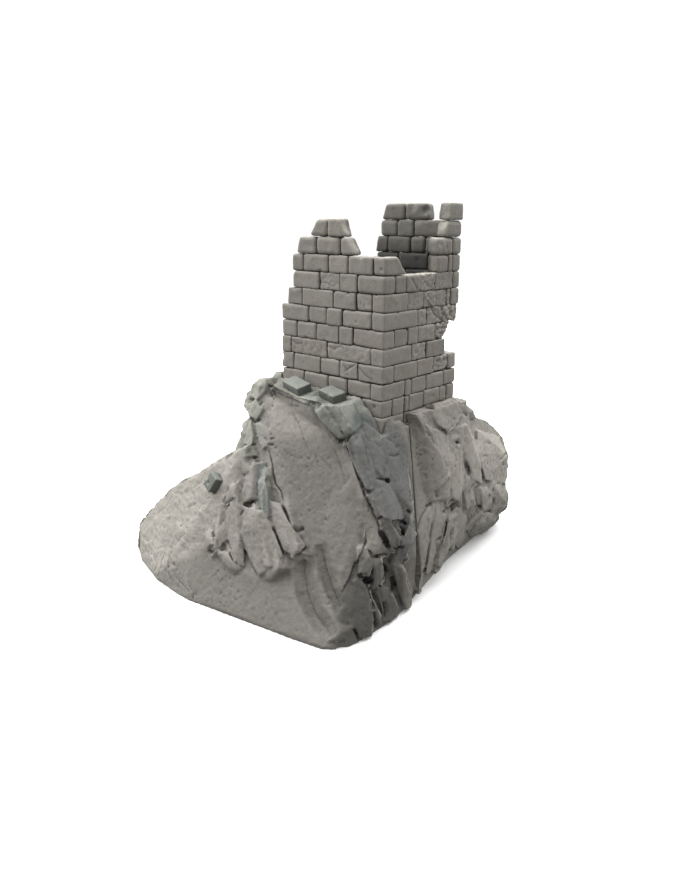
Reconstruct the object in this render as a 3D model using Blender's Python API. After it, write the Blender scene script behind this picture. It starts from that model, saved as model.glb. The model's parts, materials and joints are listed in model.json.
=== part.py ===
"""Miniature terrain ruin: a broken square tower of coursed blocks on a layered rock, cast in grey resin.

Metres, +Z up. The origin is the middle of the rock's flat underside. The front wall faces -Y, the right +X.
Three sections lift apart: the front rock, the rear rock behind an upright seam, and the tower from course 4 up.
"""
import math
import random
from dataclasses import dataclass

import bmesh
import bpy
from mathutils import Matrix, Vector
from mathutils.bvhtree import BVHTree

MM = 0.001

# Tower
TOWER_LENGTH = 52.0 * MM
TOWER_DEPTH = 48.0 * MM
WALL = 5.4 * MM
COURSE_HEIGHT = 6.4 * MM
BED_GAP = 0.3 * MM
JOINT_WIDTH = 0.9 * MM
JOINT_DEPTH = 0.8 * MM
EDGE_CHAMFER = 0.5 * MM
CORNER_CHAMFER = 0.6 * MM
PROUD = 0.2 * MM
BLOCK_GAP = 0.3 * MM
SPLIT_COURSES = 3

# Rock: its height under the tower, and how far it reaches past each wall
SEAT_HEIGHT = 70.0 * MM
LEFT_REACH = 62.0 * MM
RIGHT_REACH = 12.0 * MM
FRONT_REACH = 47.0 * MM
BACK_REACH = 63.0 * MM
FOOT_EDGE = 1.0 * MM
PLATE_WIDTH = 10.0 * MM
PLATE_DEPTH = 12.0 * MM
RIB_LIFT = 0.8 * MM
BOULDER = 6.5 * MM
HIDDEN_PROUD = 1.5 * MM
SOCKET_CLEARANCE = 0.6 * MM
SEAM_FROM_FRONT = 13.8 * MM
SEAM_GAP = 0.4 * MM

# Fallen blocks
FALLEN_LENGTH = 12.4 * MM
FALLEN_WIDTH = 6.2 * MM
FALLEN_HEIGHT = 3.4 * MM
FALLEN_BED = 0.8 * MM
FALLEN_CLEARANCE = 0.3 * MM

# Locating pins
SEAM_PIN_DIAMETER = 3.0 * MM
SEAM_PIN_LENGTH = 20.0 * MM
SEAM_PIN_DROP = 30.0 * MM
TOWER_PIN_DIAMETER = 2.2 * MM
TOWER_PIN_LENGTH = 9.0 * MM
PIN_CLEARANCE = 0.3 * MM
PIN_INSET = 12.0 * MM
PIN_SIDES = 16

# Places worked out from the sizes
HALF_LENGTH = (LEFT_REACH + TOWER_LENGTH + RIGHT_REACH) / 2
HALF_DEPTH = (FRONT_REACH + TOWER_DEPTH + BACK_REACH) / 2
LEFT_X = LEFT_REACH - HALF_LENGTH
RIGHT_X = LEFT_X + TOWER_LENGTH
FRONT_Y = FRONT_REACH - HALF_DEPTH
BACK_Y = FRONT_Y + TOWER_DEPTH
SEAM_Y = FRONT_Y + SEAM_FROM_FRONT
PERIMETER = 2 * (TOWER_LENGTH + TOWER_DEPTH)
FLOOR_Z = SEAT_HEIGHT + SPLIT_COURSES * COURSE_HEIGHT
FAR = 0.5
WELD = 2e-6

CORNERS = {
    "front": Vector((RIGHT_X, FRONT_Y, SEAT_HEIGHT)),
    "left": Vector((LEFT_X, FRONT_Y, SEAT_HEIGHT)),
    "right": Vector((RIGHT_X, BACK_Y, SEAT_HEIGHT)),
    "far": Vector((LEFT_X, BACK_Y, SEAT_HEIGHT)),
}

# Relative block lengths of each course: the front wall from its left end, then on round the tower
BLOCK_LENGTHS = {
    1: ((1.2, 2.0, 2.1, 1.9, 0.9), (2.2, 1.9, 1.6, 1.8), (0.9, 2.2, 1.7, 2.4, 0.9), (2.0, 1.5, 2.2, 1.8)),
    2: ((2.3, 1.4, 1.7, 1.1, 1.6), (1.0, 1.2, 0.4, 1.5, 1.7, 1.7), (1.8, 1.5, 2.0, 2.8), (0.9, 2.1, 1.8, 2.7)),
    3: ((1.9, 2.0, 1.5, 1.8, 0.9), (2.2, 0.6, 1.5, 1.9, 1.3), (1.0, 2.3, 1.4, 2.2, 1.2), (1.7, 1.3, 2.5, 2.0)),
    4: ((1.0, 2.3, 1.6, 1.4, 1.9), (1.0, 2.3, 1.7, 1.6, 0.9), (2.1, 1.6, 1.9, 1.5, 1.0), (2.0, 1.8, 2.7, 1.0)),
    5: ((0.8, 3.0, 3.4, 0.9), (2.7, 1.5, 3.3), (1.5, 1.7, 2.6, 2.3), (0.9, 2.4, 1.7, 2.5)),
    6: ((1.3, 1.7, 1.8, 1.1, 2.3), (1.0, 1.3, 1.0, 1.8, 2.4), (2.2, 2.0, 1.3, 2.6), (1.9, 1.5, 3.1, 0.9)),
    7: ((2.3, 1.5, 1.2, 2.2, 0.9), (3.2, 1.0, 1.6, 1.7), (1.0, 2.7, 1.6, 2.8), (0.9, 2.2, 1.9, 2.5)),
    8: ((1.8, 2.5, 1.7, 1.2, 0.9), (2.2, 1.6, 2.4, 1.3), (2.4, 1.5, 2.3, 1.9), (2.1, 1.6, 2.0, 1.8)),
    9: ((3.2, 1.6, 1.3, 2.0), (1.0, 1.0, 1.4, 1.5, 1.9, 0.7), (1.3, 2.3, 1.9, 2.6), (1.5, 2.0, 2.0, 2.0)),
    10: ((1.9, 2.0, 1.5, 1.8, 0.9), (2.3, 1.4, 2.5, 1.3), (1.9, 2.3, 2.2, 1.7), (2.0, 2.0, 2.0, 1.5)),
}


@dataclass(frozen=True)
class Run:
    """A length of one course, by wall and share of that wall, and its ends' set-backs in courses."""
    name: str
    course: int
    start: tuple
    end: tuple
    start_slope: float = 0.0
    end_slope: float = 0.0


@dataclass(frozen=True)
class Single:
    """A single block of a stub: its wall, course and shares of the wall, and its set-backs, in courses."""
    name: str
    wall: int
    course: int
    start: float
    end: float
    start_slope: float = 0.0
    end_slope: float = 0.0


@dataclass(frozen=True)
class Plate:
    """A rock plate: the middle of its face at top and foot, shares of the usual width and depth, and facing."""
    corner: str
    top: tuple
    foot: tuple
    width: float
    depth: float
    facing: float


@dataclass(frozen=True)
class Boulder:
    """A lump of rock: its place from a tower corner, and shares of the usual size."""
    corner: str
    at: tuple
    size: tuple


FRONT, RIGHT, BACK, LEFT = WALLS = range(4)

# Broken courses: two have lost the corner of the right and back walls, the upper ones stop short
BROKEN_RUNS = (
    Run("course_05", 5, (BACK, 0.16), (RIGHT, 0.83), 0.16, 0.09),
    Run("course_06", 6, (BACK, 0.15), (RIGHT, 0.81), 0.12, -0.8),
    Run("course_08", 8, (FRONT, 0.06), (LEFT, 0.35), 0.09, 0.47),
    Run("course_09", 9, (FRONT, 0.12), (BACK, 0.85), 0.05, 0.4),
    Run("course_10_front", 10, (FRONT, 0.11), (RIGHT, 0.28), 0.06, 0.87),
    Run("course_10_back", 10, (RIGHT, 0.67), (BACK, 0.75), 0.05, 0.08),
)
WHOLE_RINGS = (4, 7)

# Stubs above the broken courses. On the back wall they start beside the right wall's corner blocks
PAST_CORNER = (WALL + BLOCK_GAP / 2) / TOWER_LENGTH
STUB_BLOCKS = (
    Single("front_11_left", FRONT, 11, 0.16, 0.36, 0.25),
    Single("front_11_middle", FRONT, 11, 0.36, 0.59),
    Single("front_11_right", FRONT, 11, 0.59, 0.73, 0.0, 0.66),
    Single("front_12_left", FRONT, 12, 0.28, 0.47, 0.66),
    Single("front_12_right", FRONT, 12, 0.47, 0.61, 0.0, 0.44),
    Single("right_11_end", RIGHT, 11, 0.66, 0.88),
    Single("right_11_corner", RIGHT, 11, 0.88, 1.0),
    Single("back_11_inner", BACK, 11, PAST_CORNER, 0.27),
    Single("back_11_middle", BACK, 11, 0.27, 0.41),
    Single("back_11_long", BACK, 11, 0.41, 0.63),
    Single("back_11_end", BACK, 11, 0.63, 0.76, 0.0, 0.22),
    Single("right_12_corner", RIGHT, 12, 0.76, 1.0, 0.28),
    Single("back_12_inner", BACK, 12, PAST_CORNER, 0.38),
    Single("back_12_middle", BACK, 12, 0.38, 0.54),
    Single("back_12_end", BACK, 12, 0.54, 0.71),
    Single("right_13_corner", RIGHT, 13, 0.86, 1.0, 0.23),
    Single("back_13_inner", BACK, 13, 0.24, 0.47, 0.19),
    Single("back_13_end", BACK, 13, 0.47, 0.7, 0.0, 0.5),
)

# Rock masses: a corner of the tower and a place from it. Past the walls a place is a share of the rock's reach,
# in under the tower a share of the wall's length, below the seat a share of the seat's height, above it in
# courses. A place without a height stands on the ground
PEDESTAL = (
    ("front", 0.21, -0.06, 0.16), ("left", -0.08, -0.19, 1.41), ("far", -0.08, 0.08, 0.94),
    ("right", 0.25, 0.08, 0.78), ("front", 0.42, -0.21, -0.31), ("front", 0.67, 0.21, -0.69),
    ("right", 0.42, -0.21, -0.66), ("front", 0.92, -0.3), ("front", 0.87, -0.02), ("front", 0.87, -0.6),
    ("front", 0.54, -0.72), ("left", -0.32, -0.89), ("far", -0.39, 0.32), ("right", -0.04, 0.03),
    ("front", 0.38, 0.35),
)
LEFT_RIDGE = (
    ("left", 0.04, -0.47, -0.13), ("left", -0.21, -0.52, -0.3), ("left", -0.4, -0.56, -0.39),
    ("left", -0.65, -0.61, -0.51), ("left", -0.85, -0.66, -0.67), ("left", -0.98, -0.7, -0.81),
    ("left", -1.02, -0.7), ("left", -0.83, -0.84), ("left", -0.5, -0.97), ("left", -0.19, -0.92),
    ("left", -0.94, -0.26), ("left", -0.71, 0.42), ("left", -0.13, 0.62), ("left", 0.08, -0.57, -0.51),
    ("left", -0.1, 0.0, -0.13), ("left", -0.42, 0.08, -0.51), ("left", 0.19, 0.0), ("left", 0.12, -0.77, -0.89),
)
APRON = (
    ("left", -0.4, -0.62, -0.51), ("left", -0.16, -0.57, -0.49), ("left", 0.08, -0.55, -0.51),
    ("left", 0.42, -0.53, -0.63), ("front", -0.15, -0.57, -0.79), ("left", -0.5, -0.97), ("left", -0.16, -1.01),
    ("left", 0.25, -0.93), ("front", -0.44, -0.88), ("front", -0.15, -0.83), ("front", 0.33, -0.78),
    ("front", 0.67, -0.71), ("front", -0.04, -0.21), ("left", 0.0, 0.0),
)
REAR_RIDGE = (
    ("right", 0.25, 0.02, 0.47), ("right", 0.12, 0.13, -0.01), ("right", 0.0, 0.29, -0.09),
    ("right", -0.08, 0.67, -0.23), ("right", -0.11, 0.86, -0.34), ("right", -0.11, 0.91, -0.51),
    ("right", -0.08, 0.91, -0.66), ("right", 0.46, -0.08, -0.66), ("right", 0.25, 0.25, -0.66),
    ("right", 0.0, 0.57, -0.63), ("right", -0.03, -0.08), ("right", -0.09, 0.21), ("right", -0.14, 0.49),
    ("right", -0.16, 0.73), ("right", -0.19, 0.95), ("right", -0.58, 1.01), ("far", -0.29, 0.7),
    ("far", -0.58, -0.12), ("right", -0.39, 0.11, 0.47), ("far", 0.0, 0.11, 0.16), ("far", -0.19, 0.29, -0.37),
    ("right", -0.58, 0.73, -0.39),
)
BACK_SHOULDER = (
    ("far", -0.08, 0.06, 0.78), ("far", 0.12, 0.14, 0.31), ("left", -0.1, 0.29, 0.62),
    ("far", -0.32, -0.17, -0.37), ("far", -0.19, 0.25, -0.31), ("left", -0.35, 0.29, -0.4),
    ("far", -0.71, -0.04), ("far", -0.58, 0.35), ("far", -0.29, 0.67), ("left", -0.84, 0.25),
    ("left", -0.77, -0.21), ("far", 0.23, -0.17), ("left", 0.19, 0.21),
)
LEDGE = (
    ("left", 0.02, -0.02, 2.34), ("left", 0.06, -0.21, 1.91), ("left", 0.39, -0.27, 1.78),
    ("front", -0.33, -0.27, 1.75), ("front", -0.23, -0.19, 1.72), ("front", -0.17, -0.02, 2.03),
    ("front", -0.08, -0.19, 0.16), ("front", -0.06, -0.02, 0.62), ("left", 0.08, -0.09, 0.31),
    ("left", 0.42, -0.13, 0.47), ("front", -0.19, -0.13, -0.11),
)
RIGHT_SHOULDER = (
    ("front", 0.25, 0.31, 1.25), ("front", 0.42, 0.48, 1.41), ("right", 0.46, -0.17, 1.25),
    ("right", 0.5, 0.03, 0.47), ("right", 0.58, 0.05, -0.06), ("right", 0.67, -0.21, -0.11),
    ("front", 0.58, 0.5, -0.09), ("front", -0.15, 0.31, 0.0), ("right", -0.15, 0.05, 0.0),
    ("right", -0.12, -0.12, -0.43),
)
MAIN_SLAB = (
    ("left", 0.06, -0.17, 1.72), ("front", -0.36, -0.15, 0.31), ("front", -0.14, -0.17, -0.06),
    ("front", 0.75, -0.32, -0.46), ("front", 0.33, -0.55, -0.77), ("left", 0.64, -0.57, -0.67),
    ("left", 0.15, -0.34, -0.16), ("left", 0.06, 0.08, 0.78), ("front", -0.36, 0.1, -0.06),
    ("front", -0.14, 0.08, -0.14), ("front", 0.67, -0.06, -0.54), ("front", 0.33, -0.3, -0.86),
    ("left", 0.64, -0.32, -0.76), ("left", 0.15, -0.09, -0.24),
)
MASSES = (PEDESTAL, LEFT_RIDGE, APRON, REAR_RIDGE, BACK_SHOULDER, LEDGE, RIGHT_SHOULDER, MAIN_SLAB)

# Plates and boulders that stand proud of the masses
PLATES = (
    Plate("front", (-0.1, -0.09, 1.72), (0.71, 0.02, -0.47), 1.3, 1.0, -48.0),
    Plate("front", (-0.1, -0.17, 0.16), (0.79, -0.19, -0.53), 1.2, 1.0, -58.0),
    Plate("front", (0.25, 0.12, 0.94), (0.58, 0.21, -0.49), 1.3, 0.83, -6.0),
    Plate("front", (0.62, -0.23, -0.3), (0.9, -0.06, -0.64), 1.0, 1.0, -30.0),
    Plate("front", (0.67, 0.0, -0.43), (0.83, 0.12, -0.63), 0.8, 0.83, -12.0),
    Plate("front", (0.82, -0.38, -0.57), (0.92, -0.3, -0.81), 0.8, 1.0, -38.0),
    Plate("front", (0.78, -0.13, -0.63), (0.92, 0.08, -0.93), 1.0, 1.0, -14.0),
    Plate("front", (0.75, -0.47, -0.69), (0.87, -0.38, -0.96), 0.9, 1.17, -40.0),
    Plate("front", (0.87, -0.19, -0.79), (0.97, -0.13, -0.97), 0.8, 1.0, -16.0),
    Plate("front", (0.62, -0.55, -0.83), (0.78, -0.55, -0.99), 0.8, 1.0, -45.0),
    Plate("front", (0.32, 0.44, 1.09), (0.57, 0.5, -0.44), 1.5, 1.0, 0.0),
    Plate("front", (0.38, 0.33, 1.88), (0.72, 0.81, -0.5), 0.8, 0.83, 8.0),
    Plate("front", (0.6, 0.44, -0.46), (0.78, 0.35, -0.91), 0.8, 1.0, -4.0),
    Plate("front", (0.57, 0.67, -0.6), (0.68, 0.52, -0.9), 0.9, 1.0, 4.0),
    Plate("front", (0.55, 0.69, -0.4), (0.67, 0.77, -0.66), 0.9, 1.0, 2.0),
    Plate("right", (0.47, 0.0, -0.54), (0.6, -0.17, -0.83), 1.1, 1.0, 0.0),
    Plate("right", (0.28, 0.03, -0.14), (0.52, 0.16, -0.6), 1.0, 0.83, 8.0),
    Plate("right", (0.13, 0.35, -0.26), (0.35, 0.38, -0.57), 1.2, 0.83, 8.0),
    Plate("right", (0.03, 0.59, -0.37), (0.2, 0.54, -0.6), 1.8, 1.17, 4.0),
    Plate("right", (-0.11, 0.84, -0.39), (-0.06, 0.84, -0.74), 1.2, 1.17, 30.0),
    Plate("left", (0.14, -0.44, -0.21), (0.19, -0.6, -0.49), 0.9, 0.83, -100.0),
    Plate("left", (0.39, -0.49, -0.39), (0.69, -0.61, -0.64), 0.9, 0.83, -88.0),
    Plate("left", (0.21, -0.55, -0.43), (0.42, -0.74, -0.77), 2.0, 1.0, -92.0),
    Plate("left", (-0.05, -0.51, -0.27), (0.06, -0.78, -0.71), 1.2, 1.0, -104.0),
    Plate("left", (-0.14, -0.6, -0.43), (-0.08, -0.81, -0.74), 0.8, 0.83, -112.0),
    Plate("left", (-0.05, -0.13, 0.47), (-0.11, -0.34, -0.34), 1.2, 0.83, -130.0),
    Plate("front", (-0.27, -0.6, -0.66), (0.42, -0.74, -0.94), 1.3, 1.0, -74.0),
    Plate("front", (-0.27, -0.2, -0.06), (0.05, -0.32, -0.37), 1.2, 0.7, -101.0),
    Plate("front", (0.0, -0.33, -0.36), (-0.03, -0.55, -0.7), 1.0, 0.7, -99.0),
)

# Ribs that stand proud of the plates: the left cluster, the ledge's tongue, the prow and the right side
RIBS = (
    Plate("left", (0.11, -0.44, -0.22), (0.14, -0.58, -0.41), 0.45, 0.5, -54.0),
    Plate("left", (0.25, -0.51, -0.28), (0.38, -0.61, -0.44), 0.35, 0.5, -57.0),
    Plate("left", (0.35, -0.49, -0.41), (0.69, -0.61, -0.6), 0.6, 0.5, -81.0),
    Plate("left", (0.2, -0.61, -0.45), (0.48, -0.73, -0.72), 0.8, 0.5, -92.0),
    Plate("left", (0.06, -0.65, -0.4), (0.21, -0.76, -0.75), 0.45, 0.5, -96.0),
    Plate("left", (0.03, -0.6, -0.33), (-0.02, -0.65, -0.45), 0.4, 0.5, -92.0),
    Plate("left", (0.01, -0.77, -0.72), (0.2, -0.79, -0.78), 0.4, 0.5, -81.0),
    Plate("front", (-0.43, -0.28, 1.93), (-0.25, -0.2, -0.02), 0.55, 0.5, -90.0),
    Plate("front", (-0.31, -0.24, 1.92), (-0.14, -0.21, 0.23), 0.4, 0.5, -87.0),
    Plate("front", (-0.07, -0.2, 0.32), (0.3, -0.25, -0.23), 0.45, 0.5, -57.0),
    Plate("front", (-0.01, -0.09, 0.01), (0.51, -0.11, -0.19), 0.6, 0.5, -26.0),
    Plate("front", (0.44, -0.22, -0.24), (0.72, -0.23, -0.38), 0.4, 0.5, -32.0),
    Plate("front", (0.56, -0.08, -0.22), (0.78, 0.05, -0.43), 0.45, 0.5, 20.0),
    Plate("front", (0.89, -0.15, -0.36), (0.91, -0.14, -0.52), 0.45, 0.5, -42.0),
    Plate("front", (0.88, 0.09, -0.45), (0.79, 0.11, -0.63), 0.45, 0.5, -22.0),
    Plate("front", (0.6, -0.26, -0.34), (0.77, -0.22, -0.59), 0.6, 0.5, -20.0),
    Plate("front", (0.55, -0.39, -0.5), (0.77, -0.43, -0.64), 0.45, 0.5, -36.0),
    Plate("front", (1.0, -0.33, -0.58), (1.0, -0.33, -0.74), 0.35, 0.5, -42.0),
    Plate("front", (0.94, -0.07, -0.67), (0.89, 0.12, -0.97), 0.5, 0.5, 0.0),
    Plate("front", (0.98, -0.23, -0.76), (0.98, -0.13, -0.97), 0.5, 0.5, 1.0),
    Plate("front", (0.65, -0.45, -0.64), (0.97, -0.43, -0.97), 0.65, 0.5, -18.0),
    Plate("front", (0.45, 0.31, 1.27), (0.74, 0.68, -0.31), 0.5, 0.5, 1.0),
    Plate("front", (0.69, 0.5, -0.48), (0.75, 0.31, -0.93), 0.4, 0.5, 8.0),
    Plate("front", (0.62, 0.62, -0.47), (0.85, 0.41, -0.85), 0.45, 0.5, 1.0),
    Plate("front", (0.71, 0.82, -0.55), (0.73, 0.62, -0.88), 0.45, 0.5, -3.0),
    Plate("front", (0.51, 0.91, -0.16), (0.51, 0.97, -0.55), 0.45, 0.5, 10.0),
    Plate("right", (0.68, -0.12, -0.05), (0.36, 0.26, -0.49), 0.55, 0.5, -10.0),
    Plate("right", (0.35, 0.36, -0.55), (0.39, 0.4, -0.72), 0.6, 0.5, 4.0),
    Plate("right", (0.0, 0.56, -0.3), (0.25, 0.53, -0.55), 1.1, 0.5, 9.0),
)

BOULDERS = (
    Boulder("left", (-0.08, -0.09, 1.56), (0.92, 0.92, 0.85)),
    Boulder("left", (-0.03, 0.02, 1.95), (0.77, 0.77, 0.77)),
    Boulder("left", (-0.17, -0.11, 0.47), (0.92, 1.0, 0.92)),
    Boulder("left", (-0.16, -0.13, -0.11), (1.08, 1.08, 1.08)),
    Boulder("left", (-0.19, -0.17, -0.26), (1.15, 1.15, 1.15)),
    Boulder("left", (-0.08, -0.23, -0.14), (1.23, 1.08, 1.23)),
    Boulder("right", (-0.02, 0.35, -0.77), (1.0, 1.46, 1.38)),
    Boulder("right", (-0.04, 0.49, -0.66), (0.85, 1.31, 1.15)),
    Boulder("right", (-0.06, 0.67, -0.76), (0.85, 1.23, 1.23)),
    Boulder("right", (-0.11, 0.79, -0.69), (0.85, 1.08, 1.08)),
    Boulder("right", (-0.11, 0.84, -0.81), (0.92, 1.08, 1.38)),
    Boulder("right", (-0.1, 0.68, -0.86), (0.92, 1.23, 1.23)),
    Boulder("right", (0.0, 0.13, -0.03), (0.77, 0.85, 0.69)),
    Boulder("right", (0.25, 0.1, -0.43), (0.77, 1.08, 1.23)),
)

# Fallen blocks: corner and plan place, turn in degrees, and length as a share of the longest
FALLEN_BLOCKS = (
    ("fallen_block_left", "left", 0.27, -0.117, -16.0, 1.0),
    ("fallen_block_right", "front", -0.38, -0.106, -13.0, 0.8),
    ("fallen_block_slope", "left", -0.18, -0.6, 60.0, 0.55),
)

# Ribs of the hidden sides, in rows. Bearings are degrees round the tower's middle, heights shares of the seat's
HIDDEN_FIRST = 62.0
HIDDEN_LAST = 206.0
HIDDEN_STEP = 14.0
HIDDEN_LEAN = 5.0
HIDDEN_ROWS = (-0.12, -0.37, -0.62)
HIDDEN_LENGTH = 0.3
HIDDEN_WIDTH = 0.95
HIDDEN_SPREAD = 0.06

# Outline of a plate: share of its length, half width as a share, and how far that level is sunk, of its depth
PLATE_PROFILE = ((0.0, 0.3, 0.2), (0.14, 0.46, 0.0), (0.92, 0.5, 0.0), (1.0, 0.3, 0.08))
PLATE_FLARE = 0.1
# How rough a plate is: the shift of its corners along and into it, and the range of its half widths, as shares
PLATE_SKEW = 0.1
PLATE_SPREAD = (0.7, 1.15)
# Rings of a boulder: height as a share of its size, and number of corners
BOULDER_RINGS = ((-0.85, 4), (-0.25, 6), (0.4, 6), (0.9, 4))

RESIN = (0.235, 0.226, 0.205)
RESIN_ROUGHNESS = 0.78
BRASS = (0.62, 0.44, 0.18)
BRASS_ROUGHNESS = 0.35


def clear_scene():
    """Remove every object from the scene."""
    for item in list(bpy.data.objects):
        bpy.data.objects.remove(item, do_unlink=True)


def material(name, colour, roughness, metallic=0.0):
    """Make a Principled material."""
    made = bpy.data.materials.new(name)
    made.use_nodes = True
    shader = made.node_tree.nodes["Principled BSDF"]
    shader.inputs["Base Color"].default_value = (*colour, 1.0)
    shader.inputs["Roughness"].default_value = roughness
    shader.inputs["Metallic"].default_value = metallic
    return made


def body_empty(name, place):
    """Make the empty that a section's pieces hang on."""
    empty = bpy.data.objects.new(name, None)
    empty.location = place
    bpy.context.scene.collection.objects.link(empty)
    return empty


def add_piece(name, mesh, parent, origin, finish):
    """Put a mesh built in world space into the scene as one piece with its own origin and material."""
    mesh.transform(Matrix.Translation(-Vector(origin)))
    mesh.name = name
    mesh.materials.clear()
    mesh.materials.append(material(name + "_finish", *finish))
    piece = bpy.data.objects.new(name, mesh)
    bpy.context.scene.collection.objects.link(piece)
    piece.parent = parent
    piece.location = Vector(origin) - parent.location
    return piece


def mesh_from(bm, name="shape"):
    """Turn a bmesh into a mesh with its faces pointing out."""
    bmesh.ops.recalc_face_normals(bm, faces=bm.faces)
    mesh = bpy.data.meshes.new(name)
    bm.to_mesh(mesh)
    bm.free()
    return mesh


def joined(meshes):
    """Put several meshes into one, still as separate shells."""
    bm = bmesh.new()
    for mesh in meshes:
        bm.from_mesh(mesh)
    return mesh_from(bm)


def boolean(mesh, tool, operation, shells=False):
    """Cut, keep or join a mesh with a tool mesh and return the result."""
    base = bpy.data.objects.new("base", mesh)
    other = bpy.data.objects.new("tool", tool)
    for item in (base, other):
        bpy.context.scene.collection.objects.link(item)
    step = base.modifiers.new("cut", "BOOLEAN")
    step.operation = operation
    step.object = other
    step.solver = "EXACT"
    step.use_self = shells
    graph = bpy.context.evaluated_depsgraph_get()
    result = bpy.data.meshes.new_from_object(base.evaluated_get(graph))
    for item in (base, other):
        bpy.data.objects.remove(item, do_unlink=True)
    return result


def largest_shell(mesh):
    """Keep the largest connected shell of a mesh, welded where a cut left points side by side."""
    bm = bmesh.new()
    bm.from_mesh(mesh)
    bmesh.ops.remove_doubles(bm, verts=bm.verts, dist=WELD)
    bmesh.ops.dissolve_degenerate(bm, edges=bm.edges, dist=WELD)
    unseen = set(bm.faces)
    shells = []
    while unseen:
        front = [unseen.pop()]
        shell = []
        while front:
            face = front.pop()
            shell.append(face)
            for edge in face.edges:
                for other in edge.link_faces:
                    if other in unseen:
                        unseen.discard(other)
                        front.append(other)
        shells.append(shell)
    keep = max(shells, key=lambda shell: sum(face.calc_area() for face in shell))
    for shell in shells:
        if shell is not keep:
            bmesh.ops.delete(bm, geom=shell, context="FACES")
    return mesh_from(bm)


def box(low, high):
    """Make a box from two corners."""
    bm = bmesh.new()
    size = Vector(high) - Vector(low)
    middle = (Vector(high) + Vector(low)) / 2
    bmesh.ops.create_cube(bm, size=1.0, matrix=Matrix.Translation(middle) @ Matrix.Diagonal((*size, 1.0)))
    return mesh_from(bm)


def rod(start, end, diameter):
    """Make a round rod between two points."""
    start, end = Vector(start), Vector(end)
    way = end - start
    turn = way.to_track_quat("Z", "Y").to_matrix().to_4x4()
    bm = bmesh.new()
    bmesh.ops.create_cone(
        bm, cap_ends=True, segments=PIN_SIDES, radius1=diameter / 2, radius2=diameter / 2, depth=way.length,
        matrix=Matrix.Translation((start + end) / 2) @ turn)
    return mesh_from(bm)


def hull(points):
    """Make the convex solid round some points."""
    bm = bmesh.new()
    for point in points:
        bm.verts.new(point)
    made = bmesh.ops.convex_hull(bm, input=bm.verts)
    loose = [item for item in made["geom_interior"] if isinstance(item, bmesh.types.BMVert)]
    bmesh.ops.delete(bm, geom=loose, context="VERTS")
    return mesh_from(bm)


def from_corner(corner, x, y, z):
    """Place a point given in shares of the rock's reaches, the tower's plan, and the seat's or course's height."""
    x_scale = TOWER_LENGTH
    y_scale = TOWER_DEPTH
    if corner in ("left", "far") and x < 0:
        x_scale = LEFT_REACH
    if corner in ("front", "right") and x > 0:
        x_scale = RIGHT_REACH
    if corner in ("front", "left") and y < 0:
        y_scale = FRONT_REACH
    if corner in ("right", "far") and y > 0:
        y_scale = BACK_REACH
    z_scale = SEAT_HEIGHT if z < 0 else COURSE_HEIGHT
    return CORNERS[corner] + Vector((x * x_scale, y * y_scale, z * z_scale))


def mass_points(group):
    """Points of a mass. A point on the ground becomes a short upright edge that runs on below the ground."""
    points = []
    for corner, x, y, *height in group:
        if height:
            points.append(from_corner(corner, x, y, height[0]))
            continue
        spot = from_corner(corner, x, y, 0.0)
        points.append(Vector((spot.x, spot.y, FOOT_EDGE)))
        points.append(Vector((spot.x, spot.y, -FOOT_EDGE)))
    return points


# Masonry

def wall_length(wall):
    """Length of a wall's outer face."""
    return TOWER_LENGTH if wall in (FRONT, BACK) else TOWER_DEPTH


def station(wall, distance):
    """Distance round the tower of a place on a wall, from the front wall's left end."""
    return sum(wall_length(before) for before in range(wall)) + distance


def wall_point(wall, distance, out):
    """Plan position at a distance along a wall, out from its face."""
    if wall == FRONT:
        return LEFT_X + distance, FRONT_Y - out
    if wall == RIGHT:
        return RIGHT_X + out, FRONT_Y + distance
    if wall == BACK:
        return RIGHT_X - distance, BACK_Y + out
    return LEFT_X - out, BACK_Y - distance


def plan_point(place, out):
    """Plan position of a station round the tower, out from the face."""
    rest = place % PERIMETER
    for wall in WALLS:
        if rest < wall_length(wall) or wall == LEFT:
            return wall_point(wall, rest, out)
        rest -= wall_length(wall)


def corners_between(start, end):
    """Stations of the tower's corners that lie inside a length, with the wall that ends there."""
    found = []
    for turn in (-1, 0, 1):
        for wall in WALLS:
            place = station(wall, wall_length(wall)) + turn * PERIMETER
            if start + WALL / 4 < place < end - WALL / 4:
                found.append((place, wall))
    return sorted(found)


def joints_between(course, start, end):
    """Stations of the upright joints of a course inside a length."""
    found = []
    for wall, lengths in enumerate(BLOCK_LENGTHS[course]):
        scale = wall_length(wall) / sum(lengths)
        for count in range(1, len(lengths)):
            place = station(wall, sum(lengths[:count]) * scale)
            for turn in (-1, 0, 1):
                moved = place + turn * PERIMETER
                if start + 2 * JOINT_WIDTH < moved < end - 2 * JOINT_WIDTH:
                    found.append(moved)
    return sorted(found)


def outer_line(blocks, proud, inset, closed):
    """Outer outline of a run of blocks: a flat face for each, a groove between, chamfered tower corners."""
    points = []
    half = JOINT_WIDTH / 2
    for index, (start, end) in enumerate(blocks):
        face = proud[index] - inset
        first = index == 0 and not closed
        last = index == len(blocks) - 1 and not closed
        points.append(plan_point(start if first else start + half, face))
        for place, wall in corners_between(start, end):
            points.append(wall_point(wall, wall_length(wall) + face - CORNER_CHAMFER, face))
            points.append(wall_point((wall + 1) % 4, CORNER_CHAMFER - face, face))
        points.append(plan_point(end if last else end - half, face))
        if not last:
            points.append(plan_point(end, -JOINT_DEPTH))
    return points


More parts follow.
